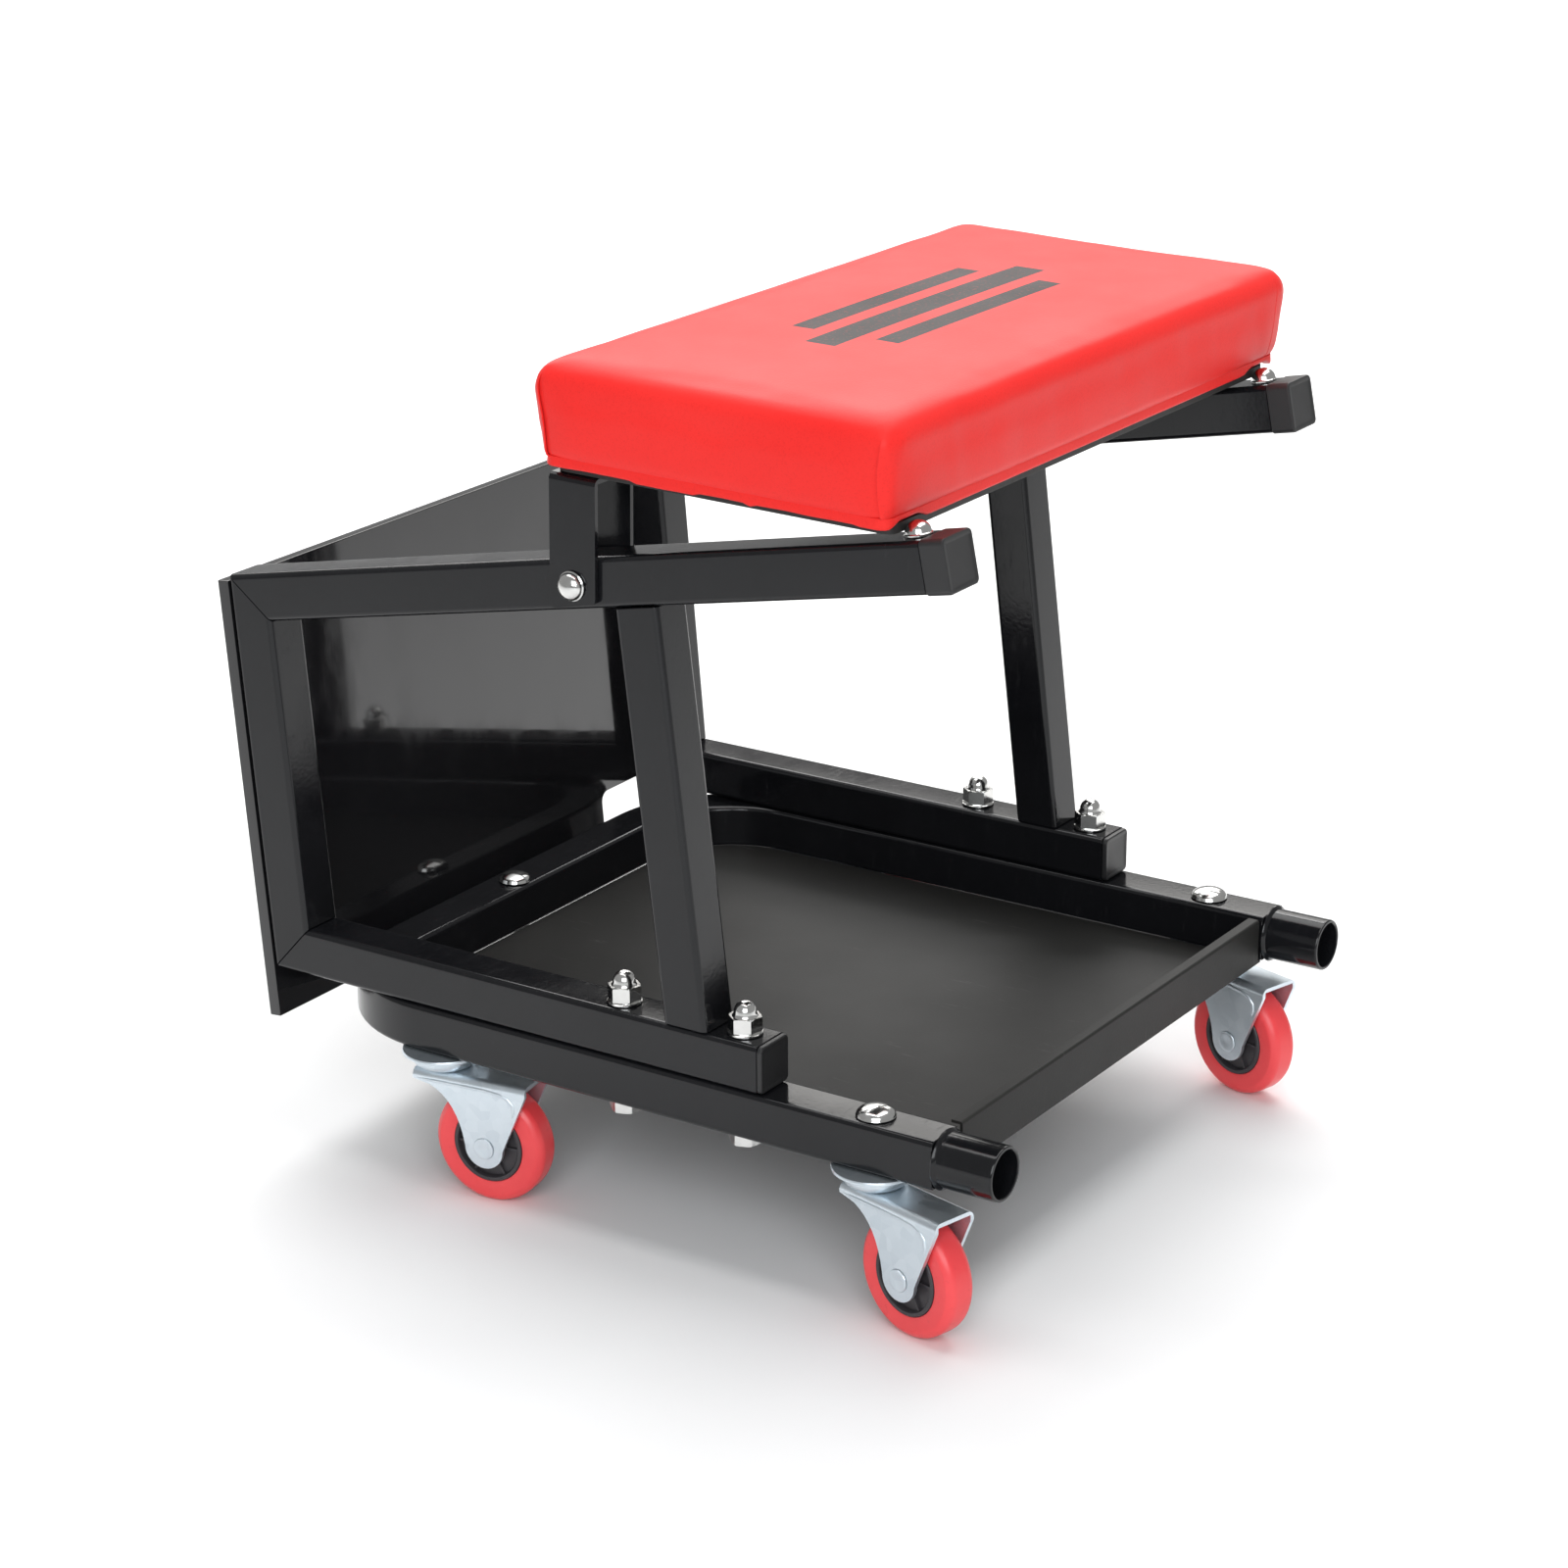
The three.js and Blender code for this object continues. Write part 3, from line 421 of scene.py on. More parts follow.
def side_frame(side, x):
    """One welded side, its four tubes centred at x."""
    half = TUBE / 2
    lower_rear = side_point(x, FRAME_REAR, LOWER_RAIL_Z)
    top_front = side_point(x, TOP_RAIL_END_Y, TOP_RAIL_END_Z)

    # The centre lines cross at the corners, on the planes that halve them.
    low_line = lower_rear + Z * half
    post_line = lower_rear + Vector((0, -post_up.z, post_up.y)) * half
    top_line = top_front - rail_up * half
    lower_corner = crossing(low_line, Y, post_line, post_up)
    upper_corner = crossing(post_line, post_up, top_line, rail_back)
    lower_cut = (Y + post_up).normalized()
    upper_cut = (post_up - rail_back).normalized()
    seam = 0.12 * mm

    square_tube(f"lower_tube_{side}", [
        (side_point(x, LOWER_RAIL_FRONT, LOWER_RAIL_Z) + Z * half, X, Y, Y),
        (lower_corner - Y * seam, X, Y, lower_cut),
    ], f"lower_rail_{side}")
    square_tube(f"post_tube_{side}", [
        (lower_corner + post_up * seam, X, post_up, lower_cut),
        (upper_corner - post_up * seam, X, post_up, upper_cut),
    ], f"rear_post_{side}")
    square_tube(f"top_tube_{side}", [
        (upper_corner - rail_back * seam, X, -rail_back, upper_cut),
        (top_line, X, -rail_back, -rail_back),
    ], f"top_rail_{side}")

    strut_up = Vector((0, math.sin(STRUT_LEAN), math.cos(STRUT_LEAN)))
    foot = side_point(x, STRUT_FOOT_Y, LOWER_RAIL_TOP + GAP)
    underside = top_front - rail_up * (TUBE + GAP * mm)
    head = crossing(foot, strut_up, underside, rail_back)
    square_tube(f"strut_tube_{side}", [
        (foot, X, strut_up, Z),
        (head, X, strut_up, rail_up),
    ], f"strut_{side}")


for side, x in (("left", -RAIL_X), ("right", RAIL_X)):
    side_frame(side, x)

# ---------------------------------------------------------------------------------------
# End caps and plugs: satin black plastic mouldings pushed into the tube ends. The caps on
# the top rails have thick square heads; the plugs in the lower rails are thin.


def moulded_black():
    """Fine moulded texture with slightly duller flow marks."""
    finish = Finish("satin_black_plastic")
    texture = finish.cloud(1500, 2)
    flow = finish.cloud(40, 3)
    return finish.surface(
        base_color=finish.mix(flow, (0.012, 0.012, 0.0125), (0.022, 0.022, 0.023)),
        roughness=finish.stretch(flow, 0.3, 0.7, 0.36, 0.48),
        normal=finish.bumps(texture, 0.00005, 0.4),
    )


black_plastic = moulded_black()


def end_piece(name, size, length, place, stands_for):
    """A square head with a soft front edge and a shallow hollow in its face."""
    s, r = size * mm, 3 * mm
    levels = [
        (s - 0.6 * mm, 0), (s, 0.3), (s, length - 1.2), (s - 0.5 * mm, length - 0.4),
        (s - 1.6 * mm, length), (s - 5 * mm, length), (s - 6.4 * mm, length - 0.35),
    ]
    rings = []
    for width, height in levels:
        outline = rounded_outline(width, width, max(r - (s - width) / 2, 0.4 * mm))
        rings.append([place @ Vector((x, y, height * mm)) for x, y in outline])
    vertices, faces = skin(rings)
    count = len(rings[0])
    faces.append(tuple(reversed(range(count))))
    faces.append(tuple(range(len(vertices) - count, len(vertices))))
    solid(name, vertices, faces, black_plastic, "base", "end_plastic", stands_for, sharp=30)


for side, x in (("left", -RAIL_X), ("right", RAIL_X)):
    axis = -rail_back
    seat_at = side_point(x, TOP_RAIL_END_Y, TOP_RAIL_END_Z) - rail_up * (TUBE / 2) + axis * GAP * mm
    turn = Matrix((X, rail_up, axis)).transposed()
    place = Matrix.Translation(seat_at) @ turn.to_4x4()
    end_piece(f"top_cap_{side}", 26.4, 13, place, f"top_rail_cap_{side}")
    turn = Matrix((X, Z, -Y)).transposed()
    seat_at = side_point(x, LOWER_RAIL_FRONT - GAP, LOWER_RAIL_Z) + Z * TUBE / 2
    place = Matrix.Translation(seat_at) @ turn.to_4x4()
    end_piece(f"lower_plug_{side}", 24.8, 2.5, place, f"lower_rail_plug_{side}")

# ---------------------------------------------------------------------------------------
# The back panel: a pan of thin sheet behind the posts, edges folded to the rear, with one
# notch below. The same black coat, but on flat sheet it lies smooth as glass and shows
# the sheet's faint waves in its reflections.


def panel_coat():
    """Mirror black, with smears that dull it and slow waves in the sheet."""
    finish = Finish("mirror_black_panel_coat")
    waves = finish.cloud(16, 1)
    smears = finish.cloud(28, 5, 0.65, finish.along(1.6, 1, 0.6))
    tone = finish.mix(finish.cloud(7, 2), (0.006, 0.006, 0.007), (0.010, 0.010, 0.011))
    return finish.surface(
        base_color=tone,
        roughness=finish.stretch(smears, 0.42, 0.68, 0.05, 0.17),
        normal=finish.bumps(waves, 0.0012, 0.35),
        coat_weight=0.5,
        coat_roughness=0.04,
        ior=1.5,
    )


as_built("back_panel", "panel_sheet", panel_coat(), "base", "panel", 0.6 * mm)

# ---------------------------------------------------------------------------------------
# Bolts: bright zinc plate on all of them. Each frame bolt has a hex head under the base
# tube and a washer and acorn nut on the lower rail; the rest are round headed.


def bright_plate():
    """Bright zinc: nearly a mirror, hazed in patches."""
    finish = Finish("bright_zinc_plate")
    haze = finish.cloud(180, 4, 0.6)
    marks = finish.cloud(700, 3)
    tone = finish.mix(haze, (0.62, 0.62, 0.61), (0.82, 0.82, 0.8))
    return finish.surface(
        base_color=tone,
        metallic=1.0,
        roughness=finish.stretch(haze, 0.3, 0.8, 0.1, 0.24),
        normal=finish.bumps(marks, 0.00003, 0.35),
    )


bright_zinc = bright_plate()


def hexagon(flats, low, high, chamfer, place):
    """A hexagonal prism with its corners turned off at both ends, as (vertices, faces)."""
    corner = flats / 2 / math.cos(math.radians(30))
    rings = []
    steps = 36
    for reach, height in ((0.94, low), (1, low + chamfer), (1, high - chamfer), (0.94, high)):
        points = []
        for step in range(steps):
            angle = math.tau * step / steps
            from_flat = (angle + math.radians(30)) % math.radians(60) - math.radians(30)
            radius = min(flats / 2 / math.cos(from_flat), corner * reach)
            points.append(place @ Vector((radius * math.cos(angle), radius * math.sin(angle), height)))
        rings.append(points)
    vertices, faces = skin(rings)
    faces.append(tuple(reversed(range(steps))))
    faces.append(tuple(range(len(vertices) - steps, len(vertices))))
    return vertices, faces


def gathered(*parts):
    """Several closed shapes as the vertices and faces of one piece."""
    vertices, faces = [], []
    for more, more_faces in parts:
        start = len(vertices)
        vertices += list(more)
        faces += [tuple(i + start for i in face) for face in more_faces]
    return vertices, faces


def turned_part(profile, place, steps=40):
    """A turned shape in millimetres, as (vertices, faces), to gather with others."""
    rings = turned([(r * mm, h * mm) for r, h in profile], place, steps)
    rings.append(rings[0])
    return skin(rings)


FRAME_BOLT_FLATS = 15 * mm

for side, x in (("left", -RAIL_X), ("right", RAIL_X)):
    for end in ("front", "rear"):
        node = f"frame_bolt_{end}_{side}"
        low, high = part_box(node)
        place = Matrix.Translation((x, (low.y + high.y) / 2, 0)) @ Matrix.Rotation(0.4, 4, "Z")
        head, top = low.z / mm, high.z / mm
        rail = LOWER_RAIL_TOP + GAP
        washer_top = rail + 1.2
        nut_top = washer_top + 8
        washer = [
            (5, rail), (8.7, rail), (9, rail + 0.25), (9, rail + 1), (8.7, washer_top), (5, washer_top),
        ]
        crown = [(0, nut_top - 1), (6.7, nut_top - 1), (6.6, nut_top), (6.1, nut_top + 0.5),
                 *dome(5.8, nut_top + 1.8, top - nut_top - 1.8, 8)]
        shank = [(0, head + 5), (5, head + 5), (5, rail + 2), (0, rail + 2)]
        parts = gathered(
            hexagon(FRAME_BOLT_FLATS, low.z, low.z + 6.4 * mm, 0.5 * mm, place),
            hexagon(FRAME_BOLT_FLATS, washer_top * mm, nut_top * mm, 0.6 * mm, place),
            turned_part(washer, place),
            turned_part(crown, place),
            turned_part(shank, place),
        )
        solid(f"bolt_{end}_{side}", *parts, bright_zinc, "base", "bright_zinc", node, sharp=32)

low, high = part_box("cross_tube_bolt")
place = Matrix.Translation((low + high) / 2 * Vector((1, 1, 0)))
collar = BASE_HIGH.z / mm + GAP  # underside of every head that sits on the base tube
profile = [
    (0, 79), (5, 79), (5, collar), (8.6, collar), (9, collar + 0.5), *dome(8.8, collar + 0.8, 4.2, 8),
]
parts = gathered(
    turned_part(profile, place),
    hexagon(FRAME_BOLT_FLATS, low.z, low.z + 6.6 * mm, 0.6 * mm, place),
)
solid("panel_bolt", *parts, bright_zinc, "base", "bright_zinc", "cross_tube_bolt", sharp=32)

for side, x in (("left", -RAIL_X), ("right", RAIL_X)):
    behind = 7  # millimetres from the tube's end
    rail_z = TOP_RAIL_END_Z - behind * math.tan(TOP_RAIL_RISE)
    seat_at = side_point(x, TOP_RAIL_END_Y + behind, rail_z) + rail_up * GAP * mm
    turn = Matrix((X, -rail_back, rail_up)).transposed()
    place = Matrix.Translation(seat_at) @ turn.to_4x4()
    profile = [
        (0, -5), (2, -5), (2, 0), (6.7, 0), (6.9, 0.3), (6.9, 1), (6.5, 1.3), *dome(6.3, 1.6, 5.6, 8),
    ]
    lathe(f"stop_bolt_{side}", profile, place, bright_zinc, "base", "bright_zinc", f"rest_bolt_{side}",
          sharp=32)

# ---------------------------------------------------------------------------------------
# The casters. Fixed to the base: a pressed plate with two cups over a ring of balls, and
# a round-headed stem through the tube. Clear zinc plate, cold and slightly blue.


def clear_zinc():
    """Thin blue zinc over pressed sheet: faint spangle, haze and drawing marks."""
    finish = Finish("clear_blue_zinc")
    spangle = {"Vector": finish.place(), "Scale": 160}
    crystals = finish.node("ShaderNodeTexVoronoi", {}, spangle, "Color")
    tint = finish.node("ShaderNodeSeparateColor", {}, {0: crystals}, 0)
    haze = finish.cloud(50, 4, 0.6)
    drawn = finish.cloud(240, 4, 0.6, finish.along(1, 1, 5))
    tone = finish.mix(tint * 0.35 + haze * 0.65, (0.60, 0.68, 0.74), (0.78, 0.85, 0.90))
    return finish.surface(
        base_color=tone,
        metallic=finish.stretch(haze, 0, 1, 0.82, 0.92),
        roughness=finish.stretch(haze, 0.3, 0.7, 0.28, 0.4),
        normal=finish.bumps(drawn, 0.00005, 0.4),
    )


blue_zinc = clear_zinc()

TRAIL = 29 * mm  # axle behind the swivel
WHEEL_RADIUS = 31.75
joints = {j["name"]: j for j in frame["record"]["behaviour"]["joints"]}


def caster_place(corner):
    """The swivel's own frame: Z up its axis from the floor, X towards the axle."""
    foot = Vector(joints[f"{corner}_swivel"]["pos_m"])
    axle = Vector(joints[f"{corner}_roll"]["pos_m"])
    heading = math.atan2(axle.y - foot.y, axle.x - foot.x)
    return Matrix.Translation((foot.x, foot.y, 0)) @ Matrix.Rotation(heading, 4, "Z")


def axle_place(corner):
    """The axle's own frame: its middle, with Z along it."""
    middle = Matrix.Translation((TRAIL, 0, WHEEL_RADIUS * mm))
    return caster_place(corner) @ middle @ Matrix.Rotation(math.radians(90), 4, "X")


CORNERS = ("front_left", "front_right", "rear_left", "rear_right")

for corner in CORNERS:
    place = caster_place(corner)
    cups = [
        (5.3, 70), (12.5, 70), (14, 70.3), (15.6, 71.4), (16.7, 73), (17, 74.6), (16.6, 76), (17.4, 77),
        (21.4, 77.1), (21.9, 77.5), (22, 78.1), (21.6, 79), (5.3, 79.1),
    ]
    lathe(f"{corner}_swivel_plate", cups, place, blue_zinc, "base", "fork_zinc", f"{corner}_caster_race")
    stem = [(0, 64.2), (7, 64.2), (8, 64.9), (8, 66.6), (7.4, 67.2), (5, 67.2), (5, collar),
            (9.7, collar), (10, collar + 0.4), *dome(9.8, collar + 0.7, 4.8, 8)]
    lathe(f"{corner}_stem_bolt", stem, place, bright_zinc, "base", "bright_zinc", f"{corner}_caster_stem",
          sharp=32)

# ---------------------------------------------------------------------------------------
# The fork: one blank of sheet pressed into a channel, its legs tapering to the axle, with
# a stiffening crease under each shoulder. The axle is riveted flat through the legs.


def crease(place, side):
    """The raised line pressed along a fork's side, turning down at its front."""
    line = [(-9, 64.9), (0, 64.9), (10, 64.9), (20, 64.9), (30, 64.7), (38, 64), (43.5, 62.2), (46.5, 59.2),
            (47, 55.5), (46.3, 52)]
    high, proud, steps = 0.95, 0.6, 8
    rings = []
    for i, (x, z) in enumerate(line):
        before, after = line[max(i - 1, 0)], line[min(i + 1, len(line) - 1)]
        way = Vector((after[0] - before[0], 0, after[1] - before[1])).normalized()
        across = Vector((-way.z, 0, way.x))
        swell = 0.25 if i in (0, len(line) - 1) else 1
        loop = []
        for step in range(steps):
            angle = math.tau * step / steps
            offset = across * (high * math.cos(angle)) + Vector((0, proud * math.sin(angle), 0))
            loop.append(place @ ((Vector((x, side * 13, z)) + offset * swell) * mm))
        rings.append(loop)
    vertices, faces = skin(rings)
    faces += [tuple(range(steps)), tuple(range(len(vertices) - steps, len(vertices)))]
    return vertices, faces


for corner in CORNERS:
    fork = f"{corner}_fork"
    as_built(f"{corner}_caster_fork", f"{corner}_fork_plate", blue_zinc, fork, "fork_zinc", 0.5 * mm)
    leg = 13.3  # middle of the axle to the outside of a leg
    rivet = [(4, leg), (5.9, leg), (5.6, leg + 0.5), (4.4, leg + 0.8), (2.6, leg + 0.4), (0, leg + 0.35)]
    pin = [(r, -h) for r, h in reversed(rivet)] + rivet
    lathe(f"{corner}_axle_pin", pin, axle_place(corner), blue_zinc, fork, "fork_zinc", f"{corner}_caster_axle",
          steps=32)
    creases = gathered(*[crease(caster_place(corner), side) for side in (-1, 1)])
    solid(f"{corner}_fork_creases", *creases, blue_zinc, fork, "fork_zinc", sharp=60)

# ---------------------------------------------------------------------------------------
# The wheels: a red moulded ring, round shouldered, on a dark plastic hub with ribs
# between its rim and boss.


def red_moulding():
    """Smooth red plastic, cloudy, with paler rolled-in scuffs."""
    finish = Finish("red_wheel_moulding")
    bloom = finish.cloud(45, 4, 0.6)
    scuffs = finish.stretch(finish.cloud(160, 5, 0.7), 0.6, 0.72)
    tone = finish.mix(bloom, (0.80, 0.045, 0.055), (0.93, 0.085, 0.09))
    return finish.surface(
        base_color=finish.mix(scuffs * 0.25, tone, (0.5, 0.03, 0.04)),
        roughness=finish.stretch(bloom, 0.3, 0.7, 0.3, 0.42),
        normal=finish.bumps(finish.cloud(900, 2), 0.00004, 0.4),
    )


def hub_moulding():
    """Dark brown-black plastic with a fine texture."""
    finish = Finish("dark_hub_moulding")
    flow = finish.cloud(70, 3)
    return finish.surface(
        base_color=finish.mix(flow, (0.028, 0.025, 0.028), (0.05, 0.045, 0.05)),
        roughness=finish.stretch(flow, 0.3, 0.7, 0.38, 0.5),
        normal=finish.bumps(finish.cloud(1300, 2), 0.00005, 0.4),
    )


wheel_red = red_moulding()
hub_dark = hub_moulding()


def rib(angle, place):
    """One thin web between the hub's boss and rim."""
    turn = place @ Matrix.Rotation(angle, 4, "Z")
    half_thick, half_wide = 0.6, 7.6
    corners = []
    for x in (7.5, 17.6):
        for y in (-half_thick, half_thick):
            for z in (-half_wide, half_wide):
                corners.append(turn @ Vector((x * mm, y * mm, z * mm)))
    faces = [(0, 1, 3, 2), (4, 6, 7, 5), (0, 4, 5, 1), (2, 3, 7, 6), (0, 2, 6, 4), (1, 5, 7, 3)]
    return corners, faces


def mirrored(half_profile):
    """A wheel's profile from its outer face to its middle, and back out the other side."""
    return [(r, -z) for r, z in half_profile] + [(r, z) for r, z in reversed(half_profile)]


FACE = 9  # wheel's middle to its side
RIBS = 6

for corner in CORNERS:
    axis = axle_place(corner)
    wheel = f"{corner}_wheel"
    side_and_tread = [
        (20.1, FACE - 0.7), (21, FACE - 0.3), (24, FACE - 0.15), (27.6, FACE - 0.1), (28.7, FACE - 0.5),
        (30.2, FACE - 1.7), (31.2, FACE - 3), (31.6, FACE - 4.2), (WHEEL_RADIUS, FACE - 5.2),
    ]
    lathe(f"{corner}_red_ring", mirrored(side_and_tread), axis, wheel_red, wheel, "wheel_red",
          f"{corner}_caster_tyre", steps=96, sharp=40)
    boss_web_rim = [
        (4.2, FACE), (7.2, FACE), (8, FACE - 0.6), (8.4, 6), (17, 6), (17.3, FACE - 0.6), (17.8, FACE),
        (19.4, FACE), (19.8, FACE - 0.4),
    ]
    ribs = [rib(math.tau * i / RIBS, axis) for i in range(RIBS)]
    parts = gathered(turned_part(mirrored(boss_web_rim), axis, 64), *ribs)
    solid(f"{corner}_dark_hub", *parts, hub_dark, wheel, "wheel_hub", f"{corner}_caster_hub", sharp=35)

# ---------------------------------------------------------------------------------------
# The seat brackets: strip steel folded into upside-down channels that straddle the top
# rails, coated like the frame, each on a round-headed bolt the seat tips about.

for side, x, outward in (("left", -RAIL_X, -1), ("right", RAIL_X, 1)):
    as_built(f"seat_bracket_{side}", f"bracket_{side}", gloss_black, "seat", "frame", 0.5 * mm)
    low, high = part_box(f"seat_pivot_bolt_{side}")
    middle = Vector((x, (low.y + high.y) / 2, (low.z + high.z) / 2))
    place = Matrix.Translation(middle) @ Matrix.Rotation(math.radians(90 * outward), 4, "Y")
    cheek = 16  # bolt's middle to the outside of a cheek
    end = -cheek - 6.4
    head = [(0, end), (4, end), (4, cheek), (7.2, cheek), (7.5, cheek + 0.3), (7.5, cheek + 0.9),
            (7.1, cheek + 1.2), *dome(6.9, cheek + 1.4, 4.6, 8)]
    parts = gathered(
        turned_part(head, place),
        hexagon(13 * mm, end * mm, -cheek * mm, 0.5 * mm, place),
    )
    solid(f"tip_bolt_{side}", *parts, bright_zinc, "base", "bright_zinc", f"seat_pivot_bolt_{side}", sharp=32)

# ---------------------------------------------------------------------------------------
# The seat board: pressed fibre board painted black, under the cushion.


def painted_board():
    """Dull black paint that shows the board's fibres."""
    finish = Finish("painted_fibre_board")
    fibres = finish.cloud(320, 5, 0.7, finish.along(1, 2.5, 1))
    return finish.surface(
        base_color=finish.mix(fibres, (0.008, 0.008, 0.008), (0.022, 0.021, 0.02)),
        roughness=finish.stretch(fibres, 0.3, 0.7, 0.5, 0.66),
        normal=finish.bumps(fibres, 0.00015, 0.5),
    )


as_built("seat_board", "backing_board", painted_board(), "seat", "seat_board", 0.5 * mm)

# ---------------------------------------------------------------------------------------
# The cushion: foam under a red vinyl cover drawn down over the board and stapled below.
# The cover is folded, not sewn, at its four upright corners, and pulls into soft
# upright wrinkles along the front and back.

SEAT_TILT = math.radians(1.1)
seat_place = Matrix.Translation(joints["seat_tip"]["pos_m"]) @ Matrix.Rotation(SEAT_TILT, 4, "X")

# Sizes of the cushion in the seat's own frame, whose X axis is the line it tips about.
CUSHION_HALF = 197 * mm
CUSHION_BACK = 19 * mm
CUSHION_FRONT = -184 * mm
CUSHION_BASE = 59.9 * mm
CUSHION_TOP = 110 * mm
CUSHION_MIDDLE = (CUSHION_FRONT + CUSHION_BACK) / 2
CUSHION_DEPTH_HALF = (CUSHION_BACK - CUSHION_FRONT) / 2


def red_vinyl():
    """Soft red vinyl with a leather grain and a plain printed device on top."""
    finish = Finish("red_vinyl")
    pores = finish.node("ShaderNodeTexVoronoi", {}, {"Vector": finish.place(), "Scale": 900}, "Distance")
    leather = finish.cloud(520, 3, 0.6)
    patches = finish.cloud(14, 3, 0.5)
    creases = finish.cloud(70, 4, 0.6, finish.along(1, 1, 0.35))
    tone = finish.mix(patches, (0.80, 0.022, 0.02), (0.90, 0.036, 0.03))
    grain = pores * 0.5 + leather * 0.5
    fold = finish.bumps(creases, 0.0004, 0.12)
    # The device is three dark bars, the middle one longest, worn thin in places.
    across, deep = finish.reach(0).size(), finish.reach(1) - (SHIFT - 88 * mm)
    bars = (across < 100 * mm) * (deep.size() < 8.5 * mm)
    bars = bars + (across < 78 * mm) * ((deep.size() - 24 * mm).size() < 6.5 * mm)
    on_top = finish.reach(2) > 443 * mm
    ink = bars * on_top * finish.stretch(leather, 0.3, 0.42, 0.8, 1)
    red = finish.mix(finish.stretch(grain, 0.2, 0.5, 0.25, 0), tone, (0.55, 0.012, 0.012))
    return finish.surface(
        base_color=finish.mix(ink, red, (0.018, 0.014, 0.014)),
        roughness=finish.stretch(patches, 0.3, 0.7, 0.36, 0.46),
        normal=finish.bumps(grain, 0.00012, 0.5, fold),
        specular_ior_level=0.14,
        sheen_weight=0.03,
        sheen_roughness=0.4,
    )


vinyl = red_vinyl()


def loop_at(inset, height):
    """The cushion's outline drawn in by inset, at a height over its base, in millimetres."""
    outline = rounded_outline(2 * (CUSHION_HALF - inset * mm), 2 * (CUSHION_DEPTH_HALF - inset * mm),
                              max(8 - inset, 2.5) * mm, 5)
    return [Vector((x, y + CUSHION_MIDDLE, CUSHION_BASE + height * mm)) for x, y in outline]


def foam_block():
    """The stuffed cover before it is blown up: drawn in below, square shouldered above."""
    levels = [
        (9, 0.1), (6.4, 0.3), (5, 1.4), (4.4, 4), (3.4, 10), (1.6, 23), (0.2, 34), (-0.2, 40), (0.4, 43.8),
        (2.2, 46.8), (5, 48.7), (9, 49.5),
    ]
    vertices, faces = skin([loop_at(*level) for level in levels])
    count = len(vertices) // len(levels)
    faces += [tuple(reversed(range(count))), tuple(range(len(vertices) - count, len(vertices)))]
    mesh = bpy.data.meshes.new("foam")
    mesh.from_pydata([tuple(v) for v in vertices], [], faces)
    piece = bpy.data.objects.new("cushion_cover", mesh)
    bpy.context.scene.collection.objects.link(piece)
    return piece


def applied(piece):
    """Replaces a piece's mesh by what its modifiers make of it."""
    graph = bpy.context.evaluated_depsgraph_get()
    mesh = bpy.data.meshes.new_from_object(piece.evaluated_get(graph))
    piece.modifiers.clear()
    old = piece.data
    piece.data = mesh
    bpy.data.meshes.remove(old)


def puffed(piece, out, slip):
    """Blows the cover up like stuffed cloth: no point rises past out, or slides past slip."""
    rest = [v.co.copy() for v in piece.data.vertices]
    normals = [v.normal.copy() for v in piece.data.vertices]
    held = piece.vertex_groups.new(name="held")
    low = min(v.z for v in rest)
    held.add([i for i, v in enumerate(rest) if v.z < low + 4 * mm], 1.0, "ADD")
    cloth = piece.modifiers.new("cover", "CLOTH")
    cloth.settings.quality = 5
    cloth.settings.mass = 0.3
    cloth.settings.tension_stiffness = 40
    cloth.settings.compression_stiffness = 40
    cloth.settings.bending_stiffness = 4
    cloth.settings.use_pressure = True
    cloth.settings.uniform_pressure_force = 3
    cloth.settings.vertex_group_mass = "held"
    cloth.settings.effector_weights.gravity = 0
    for step in range(1, 21):
        bpy.context.scene.frame_set(step)
    applied(piece)
    for v, was, normal in zip(piece.data.vertices, rest, normals):
        moved = v.co - was
        lift = moved.dot(normal)
        slide = moved - normal * lift
        if slide.length > slip:
            slide *= slip / slide.length
        v.co = was + normal * min(max(lift, -0.3 * mm), out) + slide
    bpy.context.scene.frame_set(1)
    piece.vertex_groups.clear()


cushion = foam_block()
remesh = cushion.modifiers.new("even_cloth", "REMESH")
remesh.mode = "VOXEL"
remesh.voxel_size = 4 * mm
applied(cushion)
puffed(cushion, 1.6 * mm, 1.2 * mm)
even = cushion.modifiers.new("even", "SMOOTH")
even.factor = 0.5
even.iterations = 8
finer = cushion.modifiers.new("finer", "SUBSURF")
finer.levels = finer.render_levels = 1
applied(cushion)


def settled(co):
    """The cover crowned over the foam, its sides pulled in between the corners, with soft
    upright wrinkles along the front and back."""
    height = min(max((co.z - CUSHION_BASE) / (CUSHION_TOP - CUSHION_BASE), 0), 1)
    across = co.x / CUSHION_HALF
    deep = (co.y - CUSHION_MIDDLE) / CUSHION_DEPTH_HALF
    crown = max(0, 1 - abs(across) ** 2.6) * max(0, 1 - abs(deep) ** 2.6)
    co.z += 2.4 * mm * crown * height ** 4
    if abs(deep) > 0.8:
        side = math.copysign(1, deep)
        lean = co.x / mm + 0.3 * (co.z - CUSHION_BASE) / mm
        ripple = noise.noise(Vector((lean / 26, 3 * side, height * 0.6)))
        ripple += 0.25 * noise.noise(Vector((lean / 12, 7 * side, height * 0.5)))
        ripple *= 0.35 + 0.65 * across ** 2
        fade = math.sin(math.pi * height) ** 0.7 * (abs(deep) - 0.8) / 0.2 * max(0, 1 - abs(across) ** 16)
        co.y += side * (1.3 * mm * ripple - 0.9 * mm * (1 - abs(across) ** 3)) * fade
    if abs(across) > 0.88:
        side = math.copysign(1, across)
        fade = math.sin(math.pi * height) ** 0.7 * (abs(across) - 0.88) / 0.12
        ripple = noise.noise(Vector((co.y / mm / 30, 11 * side, height * 0.8)))
        co.x += side * (0.5 * mm * ripple - 0.7 * mm * (1 - abs(deep) ** 3)) * fade
    return co


